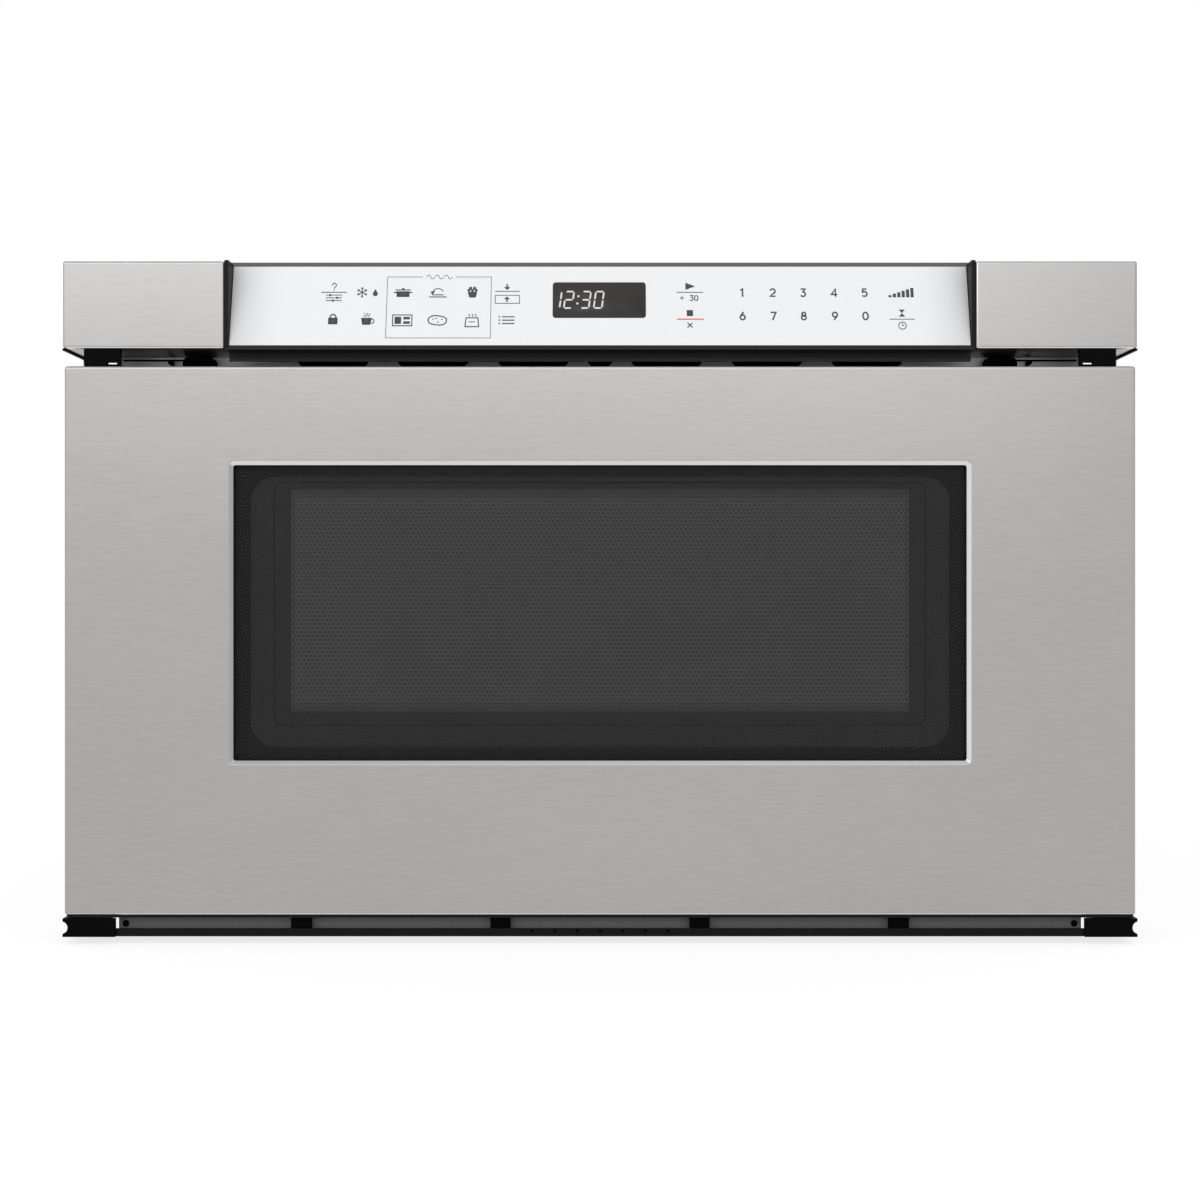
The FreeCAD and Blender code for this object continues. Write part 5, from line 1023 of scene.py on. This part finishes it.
# Lines that part the two signs of a key: from x, to x, height.
RULES = [("line", x0, z, x1, z) for x0, x1, z in
         ((-158.6, -144.2, 369.3), (-59.6, -45.8, 369.9),
          (43.6, 58.8, 369.3), (164.2, 178.4, 353.3))]
draw_all(keys, ((RULES, 0.0, 0.0), ([("stroke", DRAWER, 0.40, True)], 0.0, 0.0),
                (ARROW_DOWN, -52.9, 372.6), (ARROW_UP, -52.9, 365.0), (MENU, -52.9, 352.7),
                (START, 51.0, 372.9), (PLUS, 46.6, 365.9),
                (STOP, 51.0, 356.9), (CROSS, 51.0, 349.7),
                (POWER, 171.3, 369.0, 1.4), (HOURGLASS, 171.3, 356.9, 1.1), (CLOCK, 171.3, 349.5)))
keys.dry("key_pictures", "key_ink")

stop_line = Ink()
stop_line.line(43.6, 353.3, 58.8, 353.3, 0.62)
stop_line.dry("stop_line", "red_ink")

# %% [markdown]
# ## Printed numbers
# The digits could come from Blender's own typeface, but its 1 is a bare bar and its strokes are
# thin. The real ones are round and even, as if drawn with one pen. So each digit is one or two
# strokes of that pen, made of straight runs and arcs around a middle.

# %% Digits of the keypad
ROUND = 1.38
DIGIT_STROKES = {
    "0": [[(1.45 * x, 2.15 * z) for x, z in turn_of(0, 0, 1, 0, 360, 24)]],
    "1": [[(-0.95, 1.45), (0.25, 2.2), (0.25, -2.45)]],
    "2": [turn_of(0, 0.85, ROUND, 165, -38) + [(-1.4, -2.15), (1.55, -2.15)]],
    "3": [[(-1.3, 2.15), (1.15, 2.15), (0.0, 0.5)] + turn_of(-0.1, -0.85, ROUND, 80, -150)],
    "4": [[(0.75, -2.45), (0.75, 2.15), (-1.65, -1.1), (1.65, -1.1)]],
    "5": [[(1.25, 2.15), (-0.95, 2.15), (-1.1, 0.25)] + turn_of(-0.05, -0.75, 1.42, 128, -145)],
    "6": [turn_of(0, -0.8, ROUND, 0, 360, 20), [(-1.25, -0.2), (0.55, 2.4)]],
    "7": [[(-1.4, 2.15), (1.5, 2.15), (-0.45, -2.45)]],
    "8": [turn_of(0, 1.08, 1.08, 0, 360, 20), turn_of(0, -0.95, 1.28, 0, 360, 20)],
    "9": [turn_of(0, 0.8, ROUND, 0, 360, 20), [(1.25, 0.2), (-0.55, -2.4)]],
}
PEN = 0.88
DIGIT_HEIGHT = 5.1
DIGIT_PITCH = 3.9
KEY_COLUMNS = (80.9, 98.3, 115.6, 133.3, 150.6)
digits = Ink()


def number(ink, text, x, z, height=DIGIT_HEIGHT, pen=PEN):
    """Draw a number around its middle."""
    scale = height / DIGIT_HEIGHT
    for index, digit in enumerate(text):
        middle = x + (index - (len(text) - 1) / 2) * DIGIT_PITCH * scale
        for run in DIGIT_STROKES[digit]:
            ink.stroke([(middle + a * scale, z + b * scale) for a, b in run], pen)


for row, z in (("12345", 369.1), ("67890", 355.2)):
    for digit, x in zip(row, KEY_COLUMNS):
        number(digits, digit, x, z)
number(digits, "30", 53.4, 365.9, 3.5, 0.56)
digits.dry("key_numbers", "key_ink")

# %% [markdown]
# ## The display
# A clock face of seven segments shows through a dark window with round corners. Each segment is
# a slanted bar, and a digit is the list of the segments that are lit.

# %% Dark window and lit seven-segment digits
WINDOW = ((-26.9, 354.0), (26.1, 375.3))
SEGMENTS = {"1": "bc", "2": "abged", "3": "abgcd", "0": "abcdef"}
# Ends of each segment in steps of one width across and half a height up.
ENDS = {"a": (0, 2, 1, 2), "b": (1, 2, 1, 1), "c": (1, 1, 1, 0), "d": (0, 0, 1, 0),
        "e": (0, 1, 0, 0), "f": (0, 2, 0, 1), "g": (0, 1, 1, 1)}
SLANT = 0.13
BASE, TALL, WIDE = 359.9, 9.8, 4.6
SEGMENT_GAP = 0.09
DOT = 0.55

window = Ink(0.03)
window.fill([(x, z) for x, _, z in rounded_loop(*WINDOW, 0.0, 0.0, 1.8)])
window.dry("display_window", "display_window")


def segment_digit(ink, x, text):
    for name in SEGMENTS[text]:
        a, b, c, d = ENDS[name]
        ax, az = x + WIDE * a + SLANT * TALL * b / 2, BASE + TALL * b / 2
        bx, bz = x + WIDE * c + SLANT * TALL * d / 2, BASE + TALL * d / 2
        gap_x, gap_z = (bx - ax) * SEGMENT_GAP, (bz - az) * SEGMENT_GAP
        ink.line(ax + gap_x, az + gap_z, bx - gap_x, bz - gap_z, 0.92)


lit = Ink(0.07)
for text, x in (("1", -27.6), ("2", -20.6), ("3", -11.0), ("0", -3.6)):
    segment_digit(lit, x, text)
for share in (0.28, 0.72):
    x, z = -13.2 + SLANT * TALL * share, BASE + TALL * share
    lit.bar(x - DOT, z - DOT, x + DOT, z + DOT)
lit.dry("lit_time", "lit_digits")

# %% [markdown]
# ## Small screws and a dark strip behind holes
# Screws show how a thing is held together. A pan head is a shallow dome with a cross recess, and
# both fit in one small profile: rings for the dome, then a plus-shaped dip pressed into the
# middle. Behind the fine holes in the trim's lip lies a black strip, a thin box with round corners:
# painted shade, so the holes look dark.

# %% Pan heads with a cross recess, and the strip of painted shade
TRIM_WEB_BACK = 6.0
TRIM_LIP_HALF_W = 46.0
TRIM_SCREW_X = 269.6
TRIM_SCREW_Z = 10.2
HEAD_RADIUS = 1.9
HEAD_HEIGHT = 0.8
# Rings of the head: share of the radius, share of the height, share kept between the cross's arms.
HEAD_RINGS = ((1.0, 0.0, 1.0), (1.0, 0.45, 1.0), (0.86, 0.82, 1.0), (0.62, 0.98, 1.0),
              (0.5, 1.0, 0.38), (0.44, 0.55, 0.38), (0.001 / HEAD_RADIUS, 0.45, 1.0))


def pan_head(shape, x, y, z, sides=16):
    """Add a screw head that faces forwards."""
    rings = []
    for share, rise, kept in HEAD_RINGS:
        reaches = [HEAD_RADIUS * share * (kept if k % 4 else 1.0) for k in range(sides)]
        turns = [2 * math.pi * k / sides for k in range(sides)]
        depth = y - HEAD_HEIGHT * rise
        rings.append([(x - reach * math.cos(turn), depth, z + reach * math.sin(turn))
                      for reach, turn in zip(reaches, turns)])
    shape.faces.new(skin_through(shape, rings)[-1])


def trim_screws():
    """Two dark screws hold the ends of the lower trim's web."""
    shape = bmesh.new()
    web = span("lower_trim")[0][1] + TRIM_WEB_BACK
    for x in (-TRIM_SCREW_X, TRIM_SCREW_X):
        pan_head(shape, x, web + 0.05, TRIM_SCREW_Z)
    piece("trim_screws", shape, "block_plastic", "casing")


def hole_shade_strip():
    """A black strip behind the row of holes in the trim's lip: painted shade inside the holes."""
    low = span("lower_trim")[0]
    corners = ((-TRIM_LIP_HALF_W, low[2] + 1.2), (TRIM_LIP_HALF_W, low[2] + 4.4))
    shape = bmesh.new()
    solid_through(shape, [rounded_loop(*corners, low[1] + depth, 0.0, 0.5)
                          for depth in (1.05, 1.75)])
    piece("trim_hole_shade", shape, "block_plastic", "casing")


trim_screws()
hole_shade_strip()

# %% [markdown]
# ## Stiffening beads
# A large thin sheet drums and bends, so the covers of such a casing have ribs and a raised field
# pressed into them. A boolean or a sculpt would do it, but the covers themselves stay as the CAD
# has them. So each bead is a low shape of its own on the sheet: one loop on the sheet, two more
# that rise and draw in, and a flat top, which gives the soft shoulders of pressed metal.

# %% Ribs on the sides and the top, and a raised field at the back
BEAD_RISE = 2.1
BEAD_SHOULDER = ((0.0, -0.10), (0.2, 0.12), (1.2, 0.88), (1.8, 1.0))
RIB = 16.0
# Ribs: where they begin and end along Y, and the low edge of each one across the sheet.
SIDE_RIBS = (-196.0, 216.0, (84.0, 150.0, 216.0))
TOP_RIBS = (-196.0, 176.0, (-186.0, -62.0, 46.0, 170.0))
BACK_FIELD = ((-236.0, 44.0), (236.0, 206.0))
FIELD_CORNER = 14.0


def bead(shape, low, high, radius, lay):
    """Press a bead from low to high; lay turns (across, rise, up) into a place on the casing."""
    loops = [[lay(*point) for point in
              rounded_loop(low, high, BEAD_RISE * rise, inset, max(radius - inset, 0.5))]
             for inset, rise in BEAD_SHOULDER]
    shape.faces.new(skin_through(shape, loops)[-1])


def pressed_beads():
    side = span("side_panels")[1][0]
    top, back = span("top_cover")[1][2], span("rear_cover")[1][1]
    shape = bmesh.new()
    front_end, back_end, heights = SIDE_RIBS
    for z in heights:
        for lay in (lambda a, rise, b: (side + rise, a, b),
                    lambda a, rise, b: (-side - rise, a, b)):
            bead(shape, (front_end, z), (back_end, z + RIB), RIB / 2, lay)
    front_end, back_end, places = TOP_RIBS
    for x in places:
        bead(shape, (x, front_end), (x + RIB, back_end), RIB / 2,
             lambda a, rise, b: (a, b, top + rise))
    bead(shape, *BACK_FIELD, FIELD_CORNER, lambda a, rise, b: (a, back + rise, b))
    piece("pressed_beads", shape, "pressed_steel", "casing")


pressed_beads()

# %% [markdown]
# ## Floor and backdrop
# A catalogue picture stands on white. Making the lamps brighter would burn out the steel, so the
# whiteness comes from what the camera sees: a ray that comes from the camera, a mirror or glass
# meets a floor that glows, and every other ray meets an ordinary pale floor. Almost a quarter of
# the white that is seen is light on a darker coat, so the drawer's own shadow stays.

# %% A pale floor that looks white and keeps a shadow
def seen_directly(wiring):
    """1 for camera, mirror and glass rays, otherwise 0."""
    rays = [wiring.node("ShaderNodeLightPath", output=name)
            for name in ("Is Camera Ray", "Is Glossy Ray", "Is Transmission Ray")]
    return (rays[0] + rays[1] + rays[2]).limited()


FLOOR_REACH = 20000.0
FLOOR_Z = -0.2


def studio_floor():
    material = bpy.data.materials.new("studio_floor")
    material.use_nodes = True
    wiring = Wiring(material.node_tree)
    wiring.tree.nodes.clear()
    plain = wiring.node("ShaderNodeBsdfDiffuse", inputs={"Color": grey(0.90)})
    shaded = wiring.node("ShaderNodeBsdfDiffuse", inputs={"Color": grey(0.30)})
    glow = wiring.node("ShaderNodeEmission", inputs={"Color": grey(1.0), "Strength": 0.77})
    both = wiring.node("ShaderNodeAddShader", inputs={0: shaded, 1: glow})
    seen = wiring.node("ShaderNodeMixShader", inputs={0: seen_directly(wiring), 1: plain, 2: both})
    wiring.feed(wiring.tree.nodes.new("ShaderNodeOutputMaterial").inputs["Surface"], seen)
    shape = bmesh.new()
    shape.faces.new([place(shape, (FLOOR_REACH * x, FLOOR_REACH * y, FLOOR_Z))
                     for x, y in ((-1, -1), (1, -1), (1, 1), (-1, 1))])
    add_shape("studio_floor", shape, material)


studio_floor()
print("floor laid")

# %% [markdown]
# ## Soft light
# Brushed steel shows whatever is around it, so a studio puts large pale surfaces there instead
# of small lamps. The world is that surface. Two large area lamps add a little shape: the key is
# a long, low strip high in front, a little to the left, and the fill hangs above the front.

# %% World and two area lamps
def studio_world():
    world = bpy.data.worlds.new("studio_world")
    world.use_nodes = True
    bpy.context.scene.world = world
    wiring = Wiring(world.node_tree)
    background = wiring.tree.nodes["Background"]
    wiring.feed(background.inputs["Color"], grey(1.0))
    wiring.feed(background.inputs["Strength"], 0.78 + seen_directly(wiring) * 0.22)


def area_lamp(name, power, size, location, target):
    lamp = bpy.data.lights.new(name, "AREA")
    lamp.energy = power
    lamp.shape = "RECTANGLE"
    lamp.size, lamp.size_y = size
    holder = add_object(name, lamp)
    holder.location = location
    aim = mathutils.Vector(target) - mathutils.Vector(location)
    holder.rotation_euler = aim.to_track_quat("-Z", "Y").to_euler()
    holder.visible_camera = False


studio_world()
area_lamp("key_lamp", 15.0, (3.4, 0.7), (-0.55, -2.4, 1.18), (0.0, -0.3, 0.2))
area_lamp("fill_lamp", 4.0, (1.6, 1.6), (0.4, -1.2, 2.6), (0.0, -0.3, 0.2))
print("lights on")

# %% [markdown]
# ## Camera
# The photograph is taken square on, and its straight lines run level, so the camera looks
# straight along Y at the height where the front shows neither its top nor its bottom.

# %% Camera of the photograph
CAMERA_HEIGHT = 0.1941
CAMERA_BACK = -1.2353
lens = bpy.data.cameras.new("photo_camera")
lens.lens = 50.0
lens.sensor_width = 36.0
camera = add_object("photo_camera", lens)
camera.location = (0.0, CAMERA_BACK, CAMERA_HEIGHT)
camera.rotation_euler = (math.radians(90.0), 0.0, 0.0)
bpy.context.scene.camera = camera
bpy.context.scene.view_settings.view_transform = "Standard"
print("camera at", *camera.location)
